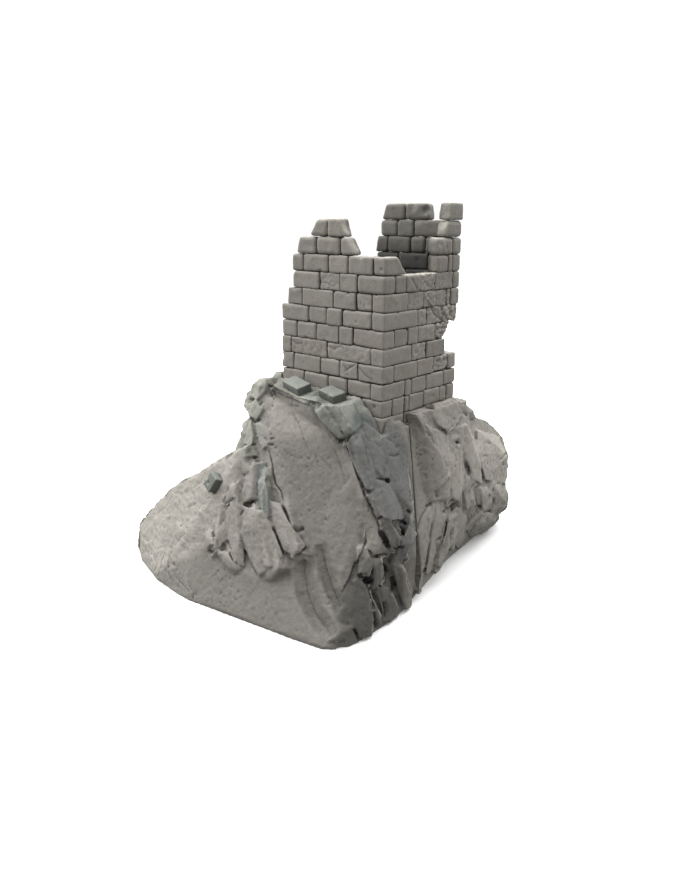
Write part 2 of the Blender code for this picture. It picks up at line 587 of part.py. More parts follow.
def inner_line(blocks, closed):
    """Inner outline of a run of blocks, the same way round, with a groove at each joint clear of the corners."""
    half = JOINT_WIDTH / 2
    start, end = blocks[0][0], blocks[-1][1]
    marks = [(place, "corner") for place, wall in corners_between(start, end)]
    joints = [block[1] for block in blocks[:-1]]
    if closed:
        joints.append(end)
        marks = [(place, "corner") for place, wall in corners_between(start, end + WALL)][:len(WALLS)]
    corner_places = [place + turn * PERIMETER for place, kind in marks for turn in (-1, 0, 1)]
    for joint in joints:
        if all(abs(joint - place) > WALL + JOINT_WIDTH for place in corner_places):
            marks.append((joint, "joint"))
    points = [] if closed else [plan_point(start, -WALL)]
    for place, kind in sorted(marks):
        if kind == "corner":
            wall = corner_wall(place)
            points.append(wall_point(wall, wall_length(wall) - WALL, -WALL))
        else:
            points.append(plan_point(place - half, -WALL))
            points.append(plan_point(place, -WALL + JOINT_DEPTH))
            points.append(plan_point(place + half, -WALL))
    if not closed:
        points.append(plan_point(end, -WALL))
    return points


def corner_wall(place):
    """The wall that ends at a corner station."""
    half = PERIMETER / 2
    ends = {wall: station(wall, wall_length(wall)) for wall in WALLS}
    return min(WALLS, key=lambda wall: abs((ends[wall] - place + half) % PERIMETER - half))


def course_bottom(course):
    """Height of the underside of a course."""
    return SEAT_HEIGHT + (course - 1) * COURSE_HEIGHT + BED_GAP


def course_top(course):
    """Height of the top of a course."""
    return SEAT_HEIGHT + course * COURSE_HEIGHT


def course_levels(course):
    """Heights of a course's four outlines, with the inset and the share of the end slope at each."""
    low, high = course_bottom(course), course_top(course)
    return (
        (low, EDGE_CHAMFER, 0.0), (low + EDGE_CHAMFER, 0.0, 0.1),
        (high - EDGE_CHAMFER, 0.0, 0.9), (high, EDGE_CHAMFER, 1.0))


def cap_ring(bm, outer, inner):
    """Close a ring between its outer and inner outlines with two faces that meet at opposite corners."""
    seams = []
    for corner in (CORNERS["left"], CORNERS["right"]):
        seams.append([
            min(range(len(line)), key=lambda index: (line[index].co.xy - corner.xy).length)
            for line in (outer, inner)])
    for first, last in (seams, seams[::-1]):
        around = []
        for line, start, end in zip((outer, inner), first, last):
            steps = (end - start) % len(line)
            around.append([line[(start + step) % len(line)] for step in range(steps + 1)])
        bm.faces.new(around[0] + around[1][::-1])


def sloped(blocks, start_shift, end_shift):
    """Blocks of a broken run with its two ends drawn in."""
    moved = [list(block) for block in blocks]
    moved[0][0] += start_shift
    moved[-1][1] -= end_shift
    return moved


def course_mesh(course, start=None, end=None, start_slope=0.0, end_slope=0.0):
    """Build a course, or a length of it, as one solid of bonded blocks."""
    closed = start is None
    if closed:
        joints = joints_between(course, 0.0, PERIMETER)
        blocks = list(zip(joints, joints[1:] + [joints[0] + PERIMETER]))
    else:
        marks = [start] + joints_between(course, start, end) + [end]
        blocks = list(zip(marks, marks[1:]))
    chance = random.Random(course * 17 + len(blocks))
    proud = [chance.uniform(-PROUD, PROUD) for block in blocks]
    bm = bmesh.new()
    rings = []
    for height, inset, share in course_levels(course):
        lined = sloped(blocks, share * start_slope, share * end_slope)
        outer = [bm.verts.new((*point, height)) for point in outer_line(lined, proud, inset, closed)]
        inner = [bm.verts.new((*point, height)) for point in inner_line(lined, closed)]
        rings.append((outer, inner))
    count = len(rings[0][0])
    for (lower, _), (upper, _) in zip(rings, rings[1:]):
        for index in range(count if closed else count - 1):
            after = (index + 1) % count
            bm.faces.new((lower[index], lower[after], upper[after], upper[index]))
    low_inner, high_inner = rings[0][1], rings[-1][1]
    for (_, middle) in rings[1:-1]:
        for vert in middle:
            bm.verts.remove(vert)
    count = len(low_inner)
    for index in range(count if closed else count - 1):
        after = (index + 1) % count
        bm.faces.new((low_inner[after], low_inner[index], high_inner[index], high_inner[after]))
    for outer, inner in (rings[0], rings[-1]):
        if closed:
            cap_ring(bm, outer, inner)
        else:
            bm.faces.new(outer + inner[::-1])
    if not closed:
        for end_index in (0, -1):
            bm.faces.new([ring[0][end_index] for ring in rings] + [high_inner[end_index], low_inner[end_index]])
    return mesh_from(bm)


def cut_end(bm, wall, course, distance, slope, outward):
    """Slice one end of a block along a plane that leans back by the slope over the course's height."""
    low = Vector((*wall_point(wall, distance, 0.0), course_bottom(course)))
    along = (Vector((*wall_point(wall, distance + outward, 0.0), course_bottom(course))) - low).normalized()
    rise = Vector((0.0, 0.0, COURSE_HEIGHT)) - along * slope
    normal = rise.cross(along.cross(Vector((0.0, 0.0, 1.0))))
    if normal.dot(along) < 0:
        normal.negate()
    cut = bmesh.ops.bisect_plane(
        bm, geom=bm.verts[:] + bm.edges[:] + bm.faces[:], plane_co=low, plane_no=normal, clear_outer=True)
    edges = [item for item in cut["geom_cut"] if isinstance(item, bmesh.types.BMEdge)]
    bmesh.ops.contextual_create(bm, geom=edges)


def chamfered_block(size):
    """A block with its edges taken off, centred on the origin."""
    bm = bmesh.new()
    bmesh.ops.create_cube(bm, size=1.0, matrix=Matrix.Diagonal((*size, 1.0)))
    bmesh.ops.bevel(bm, geom=bm.edges[:], offset=EDGE_CHAMFER, segments=1, affect="EDGES")
    return bm


def single_reach(block):
    """Start and end of a single block along its wall, drawn in for the joint unless it ends at a corner."""
    length = wall_length(block.wall)
    start = block.start * length + BLOCK_GAP / 2
    end = block.end * length - (BLOCK_GAP / 2 if block.end < 1.0 else 0.0)
    return start, end


def single_mesh(block):
    """Build a single block of a stub, bedded in its wall and broken at its ends."""
    start, end = single_reach(block)
    low, high = course_bottom(block.course), course_top(block.course)
    bm = chamfered_block((end - start, WALL, high - low))
    middle = wall_point(block.wall, (start + end) / 2, -WALL / 2)
    turn = Matrix.Rotation(math.radians(90.0 * block.wall), 4, "Z")
    bm.transform(Matrix.Translation((*middle, (low + high) / 2)) @ turn)
    if block.start_slope:
        cut_end(bm, block.wall, block.course, start, block.start_slope * COURSE_HEIGHT, -WALL)
    if block.end_slope:
        cut_end(bm, block.wall, block.course, end, block.end_slope * COURSE_HEIGHT, WALL)
    return mesh_from(bm)


# Rock

def slab_points(top, foot, width, depth, facing, seed, lift=0.0):
    """Corner points of a rough rock plate: a long broken face, narrower at its ends, and a wider back."""
    chance = random.Random(seed)
    way = foot - top
    out = Vector((math.cos(math.radians(facing)), math.sin(math.radians(facing)), 0.0))
    out -= way * (out.dot(way) / way.length_squared)
    out.normalize()
    across = way.normalized().cross(out)
    top = top + out * lift
    points = []
    for along, spread, sink in PLATE_PROFILE:
        for side in (-1.0, 1.0):
            reach = along + chance.uniform(-PLATE_SKEW, PLATE_SKEW)
            edge = top + way * reach + across * (side * spread * width * chance.uniform(*PLATE_SPREAD))
            points.append(edge - out * ((sink + chance.uniform(0.0, PLATE_SKEW)) * depth))
            points.append(edge - out * depth + across * (side * PLATE_FLARE * width))
    return points


def plate_points(plate, seed, lift=0.0):
    """Corner points of a plate or rib from the lists, lifted off the rock."""
    top = from_corner(plate.corner, *plate.top)
    foot = from_corner(plate.corner, *plate.foot)
    width = plate.width * PLATE_WIDTH
    return slab_points(top, foot, width, plate.depth * PLATE_DEPTH, plate.facing, seed, lift)


def boulder_points(boulder, seed):
    """Points of a rough lump."""
    chance = random.Random(seed)
    middle = from_corner(boulder.corner, *boulder.at)
    points = []
    for lift, count in BOULDER_RINGS:
        ring = math.sqrt(1.0 - lift * lift)
        for step in range(count):
            angle = 2 * math.pi * (step + chance.uniform(0.1, 0.7)) / count
            wide = chance.uniform(0.85, 1.0)
            spot = Vector((ring * math.cos(angle) * boulder.size[0], ring * math.sin(angle) * boulder.size[1],
                           lift * boulder.size[2]))
            points.append(middle + spot * (wide * BOULDER))
    return points


def seen_from_outside(tree, bearing, height):
    """Point and outward normal of the masses at a bearing round the tower and a share of the seat's height."""
    way = Vector((math.cos(math.radians(bearing)), math.sin(math.radians(bearing)), 0.0))
    middle = (CORNERS["front"] + CORNERS["far"]) / 2
    return tree.ray_cast(middle + way * FAR + Vector((0.0, 0.0, height * SEAT_HEIGHT)), -way)[:2]


def hidden_ribs(core):
    """Solids of the ribs on the sides that face away: staggered rows that lean over the masses."""
    tree = BVHTree.FromPolygons([v.co for v in core.vertices], [p.vertices for p in core.polygons])
    made = []
    for row, top in enumerate(HIDDEN_ROWS):
        chance = random.Random(row)
        bearing = HIDDEN_FIRST + HIDDEN_STEP / 2 * (row % 2)
        while bearing < HIDDEN_LAST:
            start = top + chance.uniform(-HIDDEN_SPREAD, HIDDEN_SPREAD)
            high, high_out = seen_from_outside(tree, bearing + HIDDEN_LEAN, start)
            low, low_out = seen_from_outside(tree, bearing - HIDDEN_LEAN, start - HIDDEN_LENGTH)
            width = HIDDEN_WIDTH * PLATE_WIDTH * chance.uniform(0.8, 1.2)
            ends = [high + high_out * HIDDEN_PROUD, low + low_out * HIDDEN_PROUD]
            made.append(hull(slab_points(*ends, width, PLATE_DEPTH, bearing, bearing + row)))
            bearing += HIDDEN_STEP
    return made


def socket_ring():
    """The slot that the lowest courses stand in, round the plinth of the tower's floor."""
    bm = bmesh.new()
    rings = []
    for height in (SEAT_HEIGHT, SEAT_HEIGHT + FAR):
        ring = []
        for out in (SOCKET_CLEARANCE, -WALL - SOCKET_CLEARANCE):
            low = (LEFT_X - out, FRONT_Y - out)
            high = (RIGHT_X + out, BACK_Y + out)
            plan = (low, (high[0], low[1]), high, (low[0], high[1]))
            ring.append([bm.verts.new((*point, height)) for point in plan])
        rings.append(ring)
    for index in range(4):
        after = (index + 1) % 4
        for low, high in zip(*rings):
            bm.faces.new((low[index], low[after], high[after], high[index]))
        for ring in rings:
            bm.faces.new((ring[0][index], ring[0][after], ring[1][after], ring[1][index]))
    return mesh_from(bm)


def rock_mesh():
    """The whole rock before the seam is cut: masses, plates and boulders joined, flat below, with a socket."""
    solids = [hull(mass_points(group)) for group in MASSES]
    solids += hidden_ribs(joined(solids))
    solids += [hull(plate_points(plate, seed)) for seed, plate in enumerate(PLATES)]
    solids += [hull(plate_points(rib, seed, RIB_LIFT)) for seed, rib in enumerate(RIBS)]
    solids += [hull(boulder_points(boulder, seed)) for seed, boulder in enumerate(BOULDERS)]
    inset = WALL + SOCKET_CLEARANCE
    low = (LEFT_X + inset, FRONT_Y + inset, SEAT_HEIGHT - WALL)
    solids.append(box(low, (RIGHT_X - inset, BACK_Y - inset, FLOOR_Z + WALL)))
    limits = box((-HALF_LENGTH, -HALF_DEPTH, 0.0), (HALF_LENGTH, HALF_DEPTH, FLOOR_Z))
    rock = boolean(joined(solids), limits, "INTERSECT", shells=True)
    rock = largest_shell(rock)
    return largest_shell(boolean(rock, socket_ring(), "DIFFERENCE"))


def fallen_places(rock):
    """Place and size of each fallen block, laid on the rock's surface and sunk a little in it."""
    tree = BVHTree.FromPolygons([v.co for v in rock.vertices], [p.vertices for p in rock.polygons])
    places = {}
    for name, corner, x, y, turn, share in FALLEN_BLOCKS:
        above = from_corner(corner, x, y, 0.0) + Vector((0.0, 0.0, FAR / 2))
        spot, normal = tree.ray_cast(above, Vector((0.0, 0.0, -1.0)))[:2]
        lean = Vector((0.0, 0.0, 1.0)).rotation_difference(normal).to_matrix().to_4x4()
        lift = Matrix.Translation(spot + normal * (FALLEN_HEIGHT / 2 - FALLEN_BED))
        size = Vector((FALLEN_LENGTH * share, FALLEN_WIDTH, FALLEN_HEIGHT))
        places[name] = (lift @ lean @ Matrix.Rotation(math.radians(turn), 4, "Z"), size)
    return places


def fallen_mesh(place, size):
    """A fallen block where it lies."""
    bm = chamfered_block(size)
    bm.transform(place)
    return mesh_from(bm)


def bed_tool(place, size):
    """The bed cut in the rock for a fallen block."""
    grown = [length + 2 * FALLEN_CLEARANCE for length in size]
    bm = bmesh.new()
    bmesh.ops.create_cube(bm, size=1.0, matrix=place @ Matrix.Diagonal((*grown, 1.0)))
    return mesh_from(bm)


# Pins

def seam_pins():
    """Start and end of each rod across the seam."""
    half = Vector((0.0, SEAM_PIN_LENGTH / 2, 0.0))
    for name, x in (("seam_pin_left", LEFT_X + PIN_INSET), ("seam_pin_right", RIGHT_X - PIN_INSET)):
        middle = Vector((x, SEAM_Y, SEAT_HEIGHT - SEAM_PIN_DROP))
        yield name, middle - half, middle + half


def tower_pins():
    """Start and end of each rod between the lowest courses and the tower."""
    half = Vector((0.0, 0.0, TOWER_PIN_LENGTH / 2))
    for name, x in (("tower_pin_left", LEFT_X + PIN_INSET), ("tower_pin_right", RIGHT_X - PIN_INSET)):
        middle = Vector((x, FRONT_Y + WALL / 2, FLOOR_Z))
        yield name, middle - half, middle + half


def drilled(mesh, pins, diameter):
    """Drill a mesh for some pins, with clearance all round and past the ends."""
    for name, start, end in pins:
        way = (end - start).normalized() * PIN_CLEARANCE
        mesh = boolean(mesh, rod(start - way, end + way, diameter + 2 * PIN_CLEARANCE), "DIFFERENCE")
    return largest_shell(mesh)


# Sections

def resin(seed):
    """Resin finish, a shade lighter or darker from piece to piece."""
    shade = random.Random(seed).uniform(0.94, 1.06)
    return tuple(part * shade for part in RESIN), RESIN_ROUGHNESS


def build_rock(front, rear):
    """Build the two rock castings and the fallen blocks bedded on the front one."""
    rock = rock_mesh()
    places = fallen_places(rock)
    for place, size in places.values():
        rock = boolean(rock, bed_tool(place, size), "DIFFERENCE")
    gap = SEAM_GAP / 2
    halves = (
        ("rock_front", front, box((-FAR, -FAR, -FAR), (FAR, SEAM_Y - gap, FAR))),
        ("rock_rear", rear, box((-FAR, SEAM_Y + gap, -FAR), (FAR, FAR, FAR))))
    for seed, (name, parent, half) in enumerate(halves):
        mesh = largest_shell(boolean(rock.copy(), half, "INTERSECT"))
        mesh = drilled(mesh, seam_pins(), SEAM_PIN_DIAMETER)
        add_piece(name, mesh, parent, (0.0, 0.0, 0.0), resin(seed))
    for seed, (name, (place, size)) in enumerate(places.items()):
        add_piece(name, fallen_mesh(place, size), front, place.translation, resin(50 + seed))


def build_split_courses(front, rear):
    """Build the lowest courses, each in a front and a rear part either side of the seam."""
    gap = SEAM_GAP / 2
    left_seam = station(LEFT, TOWER_DEPTH - SEAM_FROM_FRONT)
    right_seam = station(RIGHT, SEAM_FROM_FRONT)
    for course in range(1, SPLIT_COURSES + 1):
        origin = (0.0, 0.0, course_bottom(course))
        mesh = course_mesh(course, left_seam + gap - PERIMETER, right_seam - gap)
        if course == SPLIT_COURSES:
            mesh = drilled(mesh, tower_pins(), TOWER_PIN_DIAMETER)
        add_piece(f"course_{course:02d}_front", mesh, front, origin, resin(course))
        mesh = course_mesh(course, right_seam + gap, left_seam - gap)
        add_piece(f"course_{course:02d}_rear", mesh, rear, origin, resin(10 + course))


def build_tower(tower):
    """Build the tower section: whole rings, broken courses and the single blocks of the two stubs."""
    for course in WHOLE_RINGS:
        mesh = course_mesh(course)
        if course == SPLIT_COURSES + 1:
            mesh = drilled(mesh, tower_pins(), TOWER_PIN_DIAMETER)
        add_piece(f"course_{course:02d}", mesh, tower, (0.0, 0.0, course_bottom(course)), resin(20 + course))
    for run in BROKEN_RUNS:
        start, end = (station(wall, share * wall_length(wall)) for wall, share in (run.start, run.end))
        if end < start:
            end += PERIMETER
        slopes = (run.start_slope * COURSE_HEIGHT, run.end_slope * COURSE_HEIGHT)
        mesh = course_mesh(run.course, start, end, *slopes)
        add_piece(run.name, mesh, tower, (0.0, 0.0, course_bottom(run.course)), resin(30 + run.course))
    for seed, block in enumerate(STUB_BLOCKS):
        middle = wall_point(block.wall, sum(single_reach(block)) / 2, -WALL / 2)
        origin = (*middle, course_bottom(block.course))
        add_piece(block.name, single_mesh(block), tower, origin, resin(60 + seed))


def build_pins(front):
    """Build the locating pins, fixed in the front section."""
    brass = (BRASS, BRASS_ROUGHNESS, 1.0)
    for name, start, end in seam_pins():
        add_piece(name, rod(start, end, SEAM_PIN_DIAMETER), front, (start + end) / 2, brass)
    for name, start, end in tower_pins():
        add_piece(name, rod(start, end, TOWER_PIN_DIAMETER), front, (start + end) / 2, brass)


def main():
    """Build the ruin."""
    clear_scene()
    front = body_empty("front_section", (0.0, 0.0, 0.0))
    rear = body_empty("rear_section", (0.0, SEAM_Y, 0.0))
    tower = body_empty("tower", ((LEFT_X + RIGHT_X) / 2, (FRONT_Y + BACK_Y) / 2, FLOOR_Z))
    build_rock(front, rear)
    build_split_courses(front, rear)
    build_tower(tower)
    build_pins(front)


if __name__ == "__main__":
    main()
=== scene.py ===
"""Looks of the miniature terrain ruin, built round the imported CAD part.

Each piece stands for one CAD node and keeps its place: blocks laid in courses, two layered rock castings,
fallen blocks and locating pins. Lengths are in millimetres where a name says so, and otherwise in metres.
A place in pixels is a place in the 700 x 869 frame of the camera, and is carried on to the surface behind it.
"""
import json
import logging
import math
import random
from dataclasses import dataclass
from enum import Enum
from itertools import product
from typing import Any, Iterable, Sequence

import bmesh
import bpy
import numpy as np
from mathutils import Matrix, Vector
from mathutils.bvhtree import BVHTree
from mathutils.kdtree import KDTree

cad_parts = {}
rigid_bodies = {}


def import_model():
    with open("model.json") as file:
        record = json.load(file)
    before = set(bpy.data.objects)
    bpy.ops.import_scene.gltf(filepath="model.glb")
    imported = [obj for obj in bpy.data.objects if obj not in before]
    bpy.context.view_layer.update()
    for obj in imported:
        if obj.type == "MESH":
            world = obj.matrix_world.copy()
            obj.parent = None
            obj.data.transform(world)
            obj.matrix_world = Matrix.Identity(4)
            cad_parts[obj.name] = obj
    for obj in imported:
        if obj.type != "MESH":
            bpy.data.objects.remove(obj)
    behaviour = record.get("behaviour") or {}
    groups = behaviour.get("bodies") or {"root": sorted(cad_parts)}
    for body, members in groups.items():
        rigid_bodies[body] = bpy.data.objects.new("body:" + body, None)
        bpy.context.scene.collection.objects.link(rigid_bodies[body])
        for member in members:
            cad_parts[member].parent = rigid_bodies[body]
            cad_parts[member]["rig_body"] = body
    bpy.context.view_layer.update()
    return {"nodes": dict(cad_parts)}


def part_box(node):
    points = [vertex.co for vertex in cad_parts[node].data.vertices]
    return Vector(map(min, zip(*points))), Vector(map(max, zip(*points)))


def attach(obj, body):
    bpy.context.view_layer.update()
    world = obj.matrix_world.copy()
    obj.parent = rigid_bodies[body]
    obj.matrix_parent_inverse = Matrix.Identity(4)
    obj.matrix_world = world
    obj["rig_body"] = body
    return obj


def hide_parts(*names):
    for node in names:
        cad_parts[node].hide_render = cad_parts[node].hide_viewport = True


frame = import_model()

LOG = logging.getLogger("ruin")
MM = 0.001
TONE = "tone"
Pixel = tuple[float, float]
Triple = tuple[float, float, float]


# Shader graphs

class Value:
    """A node's output that takes part in Python arithmetic."""

    def __init__(self, graph: "Graph", socket: bpy.types.NodeSocket) -> None:
        """Hold a socket and the graph it belongs to."""
        self.graph = graph
        self.socket = socket

    def _math(self, operation: str, first: Any, second: Any) -> "Value":
        """Add a Math node."""
        return self.graph.add("ShaderNodeMath", {"operation": operation}, {0: first, 1: second})

    def __add__(self, other: Any) -> "Value":
        """Sum."""
        return self._math("ADD", self, other)

    def __radd__(self, other: Any) -> "Value":
        """Sum, reflected."""
        return self._math("ADD", other, self)

    def __sub__(self, other: Any) -> "Value":
        """Difference."""
        return self._math("SUBTRACT", self, other)

    def __rsub__(self, other: Any) -> "Value":
        """Difference, reflected."""
        return self._math("SUBTRACT", other, self)

    def __mul__(self, other: Any) -> "Value":
        """Product."""
        return self._math("MULTIPLY", self, other)

    def __rmul__(self, other: Any) -> "Value":
        """Product, reflected."""
        return self._math("MULTIPLY", other, self)

    def __lt__(self, other: Any) -> "Value":
        """One where the value is below another."""
        return self._math("LESS_THAN", self, other)


class Graph:
    """The nodes of one material or of the world."""

    def __init__(self, owner: bpy.types.Material | bpy.types.World, shader: str = "Principled BSDF") -> None:
        """Turn on the nodes of a material or world.

        Args:
            owner: The material or world.
            shader: Name of the shader that is fed.
        """
        owner.use_nodes = True
        self.owner = owner
        self.tree = owner.node_tree
        self.shader = self.tree.nodes[shader]

    def add(self, kind: str, settings: dict[str, Any], inputs: dict[Any, Any], output: Any = 0) -> Value:
        """Add a node.

        Args:
            kind: Node type.
            settings: Properties that are set first. "stops" are a ramp's positions and grey levels.
            inputs: Values or links by socket name or number.
            output: Name or number of the output that is returned.

        Returns:
            The output as a value.
        """
        node = self.tree.nodes.new(kind)
        for key, setting in settings.items():
            if key == "stops":
                ends = node.color_ramp.elements
                for element, (place, level) in zip(ends, setting):
                    element.position = place
                    element.color = (level, level, level, 1.0)
            else:
                setattr(node, key, setting)
        for key, given in inputs.items():
            self.link(given, node.inputs[key])
        return Value(self, node.outputs[output])

    def link(self, given: Any, socket: bpy.types.NodeSocket) -> None:
        """Join a value to a socket, or set the socket's own number or colour.

        Args:
            given: The value, number or colour.
            socket: The socket.
        """
        if isinstance(given, Value):
            self.tree.links.new(given.socket, socket)
        else:
            socket.default_value = given

    def feed(self, name: str, given: Any) -> None:
        """Feed one input of the shader."""
        self.link(given, self.shader.inputs[name])

    def place(self) -> Value:
        """Rest position on the piece, in metres."""
        return self.add("ShaderNodeTexCoord", {}, {}, "Object")

    def noise(self, size_mm: float, detail: float, stretch: Triple | None = None) -> Value:
        """Noise from 0 to 1.

        Args:
            size_mm: Size of its largest features.
            detail: Octaves.
            stretch: Scale of each axis, or None for all alike.

        Returns:
            The noise.
        """
        place = self.place()
        if stretch:
            place = self.add("ShaderNodeVectorMath", {"operation": "MULTIPLY"}, {0: place, 1: stretch})
        inputs = {"Vector": place, "Scale": 1.0 / (size_mm * MM), "Detail": detail, "Roughness": 0.6}
        return self.add("ShaderNodeTexNoise", {}, inputs, "Fac")

    def ramp(self, given: Value, low: Pixel, high: Pixel) -> Value:
        """Ramp a value between two stops, each a position and a level."""
        return self.add("ShaderNodeValToRGB", {"stops": (low, high)}, {"Fac": given})

    def multiply(self, first: Value, second: Any) -> Value:
        """Multiply a colour by another."""
        settings = {"data_type": "RGBA", "blend_type": "MULTIPLY"}
        return self.add("ShaderNodeMix", settings, {0: 1.0, 6: first, 7: second}, 2)


@dataclass(frozen=True)
class ResinFinish:
    """Bare casting resin: its colour comes with the mesh, its grain, mottle and pores from nodes, with
    painted shade in the pores.
    """
    name: str
    slot: str
    mottle_mm: float
    grain_mm: float
    pore_mm: float
    pore_shade: float
    roughness: float
    bump: float
    mottle_dark: float = 0.86
    grain_dark: float = 0.84
    pore_share: float = 0.2
    roughness_swing: float = 0.16
    gloss: float = 0.32
    bump_mm: float = 0.25

    def material(self) -> bpy.types.Material:
        """Make the material.

        Returns:
            A material that reads the mesh's tone.
        """
        graph = Graph(bpy.data.materials.new(self.name))
        tone = graph.add("ShaderNodeAttribute", {"attribute_name": TONE}, {}, "Color")
        mottle = graph.noise(self.mottle_mm, 4.0)
        grain = graph.noise(self.grain_mm, 3.0)
        spread = graph.noise(self.mottle_mm * 0.7, 2.0)
        cells = {"Vector": graph.place(), "Scale": 1.0 / (self.pore_mm * MM)}
        distance = graph.add("ShaderNodeTexVoronoi", {}, cells, "Distance")
        open_pores = graph.ramp(spread, (0.52, 0.0), (0.66, 1.0))
        pores = (distance < self.pore_share) * open_pores
        coloured = graph.multiply(tone, graph.ramp(mottle, (0.3, self.mottle_dark), (0.7, 1.0)))
        coloured = graph.multiply(coloured, graph.ramp(grain, (0.25, self.grain_dark), (0.75, 1.0)))
        # Painted shade: the pores' colour is darkened, as by the shade inside them.
        dark = graph.ramp(pores, (0.0, 1.0), (1.0, 1.0 - self.pore_shade))
        graph.feed("Base Color", graph.multiply(coloured, dark))
        graph.feed("Roughness", self.roughness + self.roughness_swing * (grain - 0.5))
        graph.feed("Specular IOR Level", self.gloss)
        height = grain + 0.5 * mottle - 0.6 * pores
        bumped = {"Strength": self.bump, "Distance": self.bump_mm * MM, "Height": height}
        graph.feed("Normal", graph.add("ShaderNodeBump", {}, bumped, "Normal"))
        return graph.owner


@dataclass(frozen=True)
class BrassFinish:
    """Drawn brass rod, dulled, with fine marks along it."""
    name: str = "drawn_brass"
    slot: str = "locating_pin"
    colour: tuple[float, float, float, float] = (0.62, 0.44, 0.18, 1.0)
    dull_mm: float = 1.6
    dull_dark: float = 0.62
    roughness: float = 0.28
    roughness_swing: float = 0.3
    mark_mm: float = 0.5
    mark_stretch: Triple = (6.0, 6.0, 0.6)
    bump: float = 0.2
    bump_mm: float = 0.05

    def material(self) -> bpy.types.Material:
        """Make the material.

        Returns:
            A worn brass.
        """
        graph = Graph(bpy.data.materials.new(self.name))
        dull = graph.noise(self.dull_mm, 4.0)
        marks = graph.noise(self.mark_mm, 2.0, self.mark_stretch)
        worn = graph.ramp(dull, (0.3, self.dull_dark), (0.7, 1.0))
        graph.feed("Base Color", graph.multiply(worn, self.colour))
        graph.feed("Metallic", 1.0)
        graph.feed("Roughness", self.roughness + self.roughness_swing * dull)
        bumped = {"Strength": self.bump, "Distance": self.bump_mm * MM, "Height": marks}
        graph.feed("Normal", graph.add("ShaderNodeBump", {}, bumped, "Normal"))
        return graph.owner


# Arrays of points

class Noise:
    """Seeded noise on arrays of points."""

    TURN = np.array(Matrix.Rotation(0.7, 3, Vector((1.0, 0.4, 0.3)).normalized()))

    def __init__(self, seed: int) -> None:
        """Hold the seed."""
        self.seed = seed

    def spread(self, cell: np.ndarray, salt: int) -> np.ndarray:
        """Evenly spread numbers from 0 to 1.

        Args:
            cell: Whole-number places, one per row.
            salt: Number of the draw.

        Returns:
            One number per row.
        """
        mixed = (cell[:, 0] * 73856093) ^ (cell[:, 1] * 19349663) ^ (cell[:, 2] * 83492791)
        mixed = mixed ^ (self.seed * 2654435 + salt * 40503 + 977)
        mixed = (mixed ^ (mixed >> 13)) * 1274126177
        mixed = (mixed ^ (mixed >> 16)) * 668265263
        mixed = mixed ^ (mixed >> 15)
        return (mixed & 0xFFFFFF) / float(0x1000000)

    def smooth(self, points: np.ndarray) -> np.ndarray:
        """Smooth noise from -1 to 1 with features about one unit wide.

        Args:
            points: Places, one per row.

        Returns:
            One number per point.
        """
        points = points @ self.TURN.T
        cell = np.floor(points).astype(np.int64)
        part = points - cell
        fade = part ** 3 * (part * (part * 6.0 - 15.0) + 10.0)
        total = np.zeros(len(points))
        for corner in product((0, 1), repeat=3):
            weight = np.prod(np.where(np.array(corner) == 1, fade, 1.0 - fade), axis=1)
            total += weight * self.spread(cell + np.array(corner), 0)
        return total * 2.0 - 1.0

    def fractal(self, points: np.ndarray, octaves: int) -> np.ndarray:
        """Several octaves of smooth noise, from about -1 to 1.

        Args:
            points: Places, one per row.
            octaves: How many.

        Returns:
            One number per point.
        """
        total = np.zeros(len(points))
        size = 1.0
        for octave in range(octaves):
            total += size * self.smooth(points + 17.3 * octave)
            points = (points * 2.03) @ self.TURN.T
            size *= 0.5
        return total

    def ridges(self, points: np.ndarray) -> np.ndarray:
        """Sharp crests between rounded hollows, from -1 to 1."""
        return 1.0 - 2.0 * np.abs(self.smooth(points))

    def facets(self, points: np.ndarray) -> tuple[np.ndarray, np.ndarray]:
        """Broken facets: random cells, each a plane of its own.

        Args:
            points: Places, in units of a cell.

        Returns:
            The height of each point's plane, from about -1 to 1, and its distance from the cell's edge.
        """
        cell = np.floor(points).astype(np.int64)
        nearest = np.full(len(points), 9.0)
        second = np.full(len(points), 9.0)
        height = np.zeros(len(points))
        for step in product((-1, 0, 1), repeat=3):
            there = cell + np.array(step)
            middle = there + np.stack([self.spread(there, salt) for salt in (1, 2, 3)], axis=1)
            away = points - middle
            distance = np.linalg.norm(away, axis=1)
            lean = np.stack([self.spread(there, salt) - 0.5 for salt in (4, 5, 6)], axis=1)
            plane = (lean * away).sum(axis=1) * 1.6 + self.spread(there, 7) - 0.5
            closer = distance < nearest
            second = np.where(closer, nearest, np.minimum(second, distance))
            height = np.where(closer, plane, height)
            nearest = np.where(closer, distance, nearest)
        return height, second - nearest


def step_up(low: float, high: float, values: np.ndarray) -> np.ndarray:
    """Smooth step from 0 at low to 1 at high."""
    share = np.clip((values - low) / (high - low), 0.0, 1.0)
    return share * share * (3.0 - 2.0 * share)


def relaxed(points: np.ndarray, edges: np.ndarray, rounds: int, share: float = 0.5) -> np.ndarray:
    """Move points towards the mean of their neighbours.

    Args:
        points: Places, one per row.
        edges: Pairs of point numbers.
        rounds: How often.
        share: How far each time.

    Returns:
        The moved points.
    """
    total = len(points)
    near = np.maximum(np.bincount(edges.ravel(), minlength=total), 1)[:, None]
    for _ in range(rounds):
        mean = np.empty_like(points)
        for axis in range(3):
            line = points[:, axis]
            mean[:, axis] = (np.bincount(edges[:, 0], line[edges[:, 1]], total)
                             + np.bincount(edges[:, 1], line[edges[:, 0]], total))
        points = points + share * (mean / near - points)
    return points


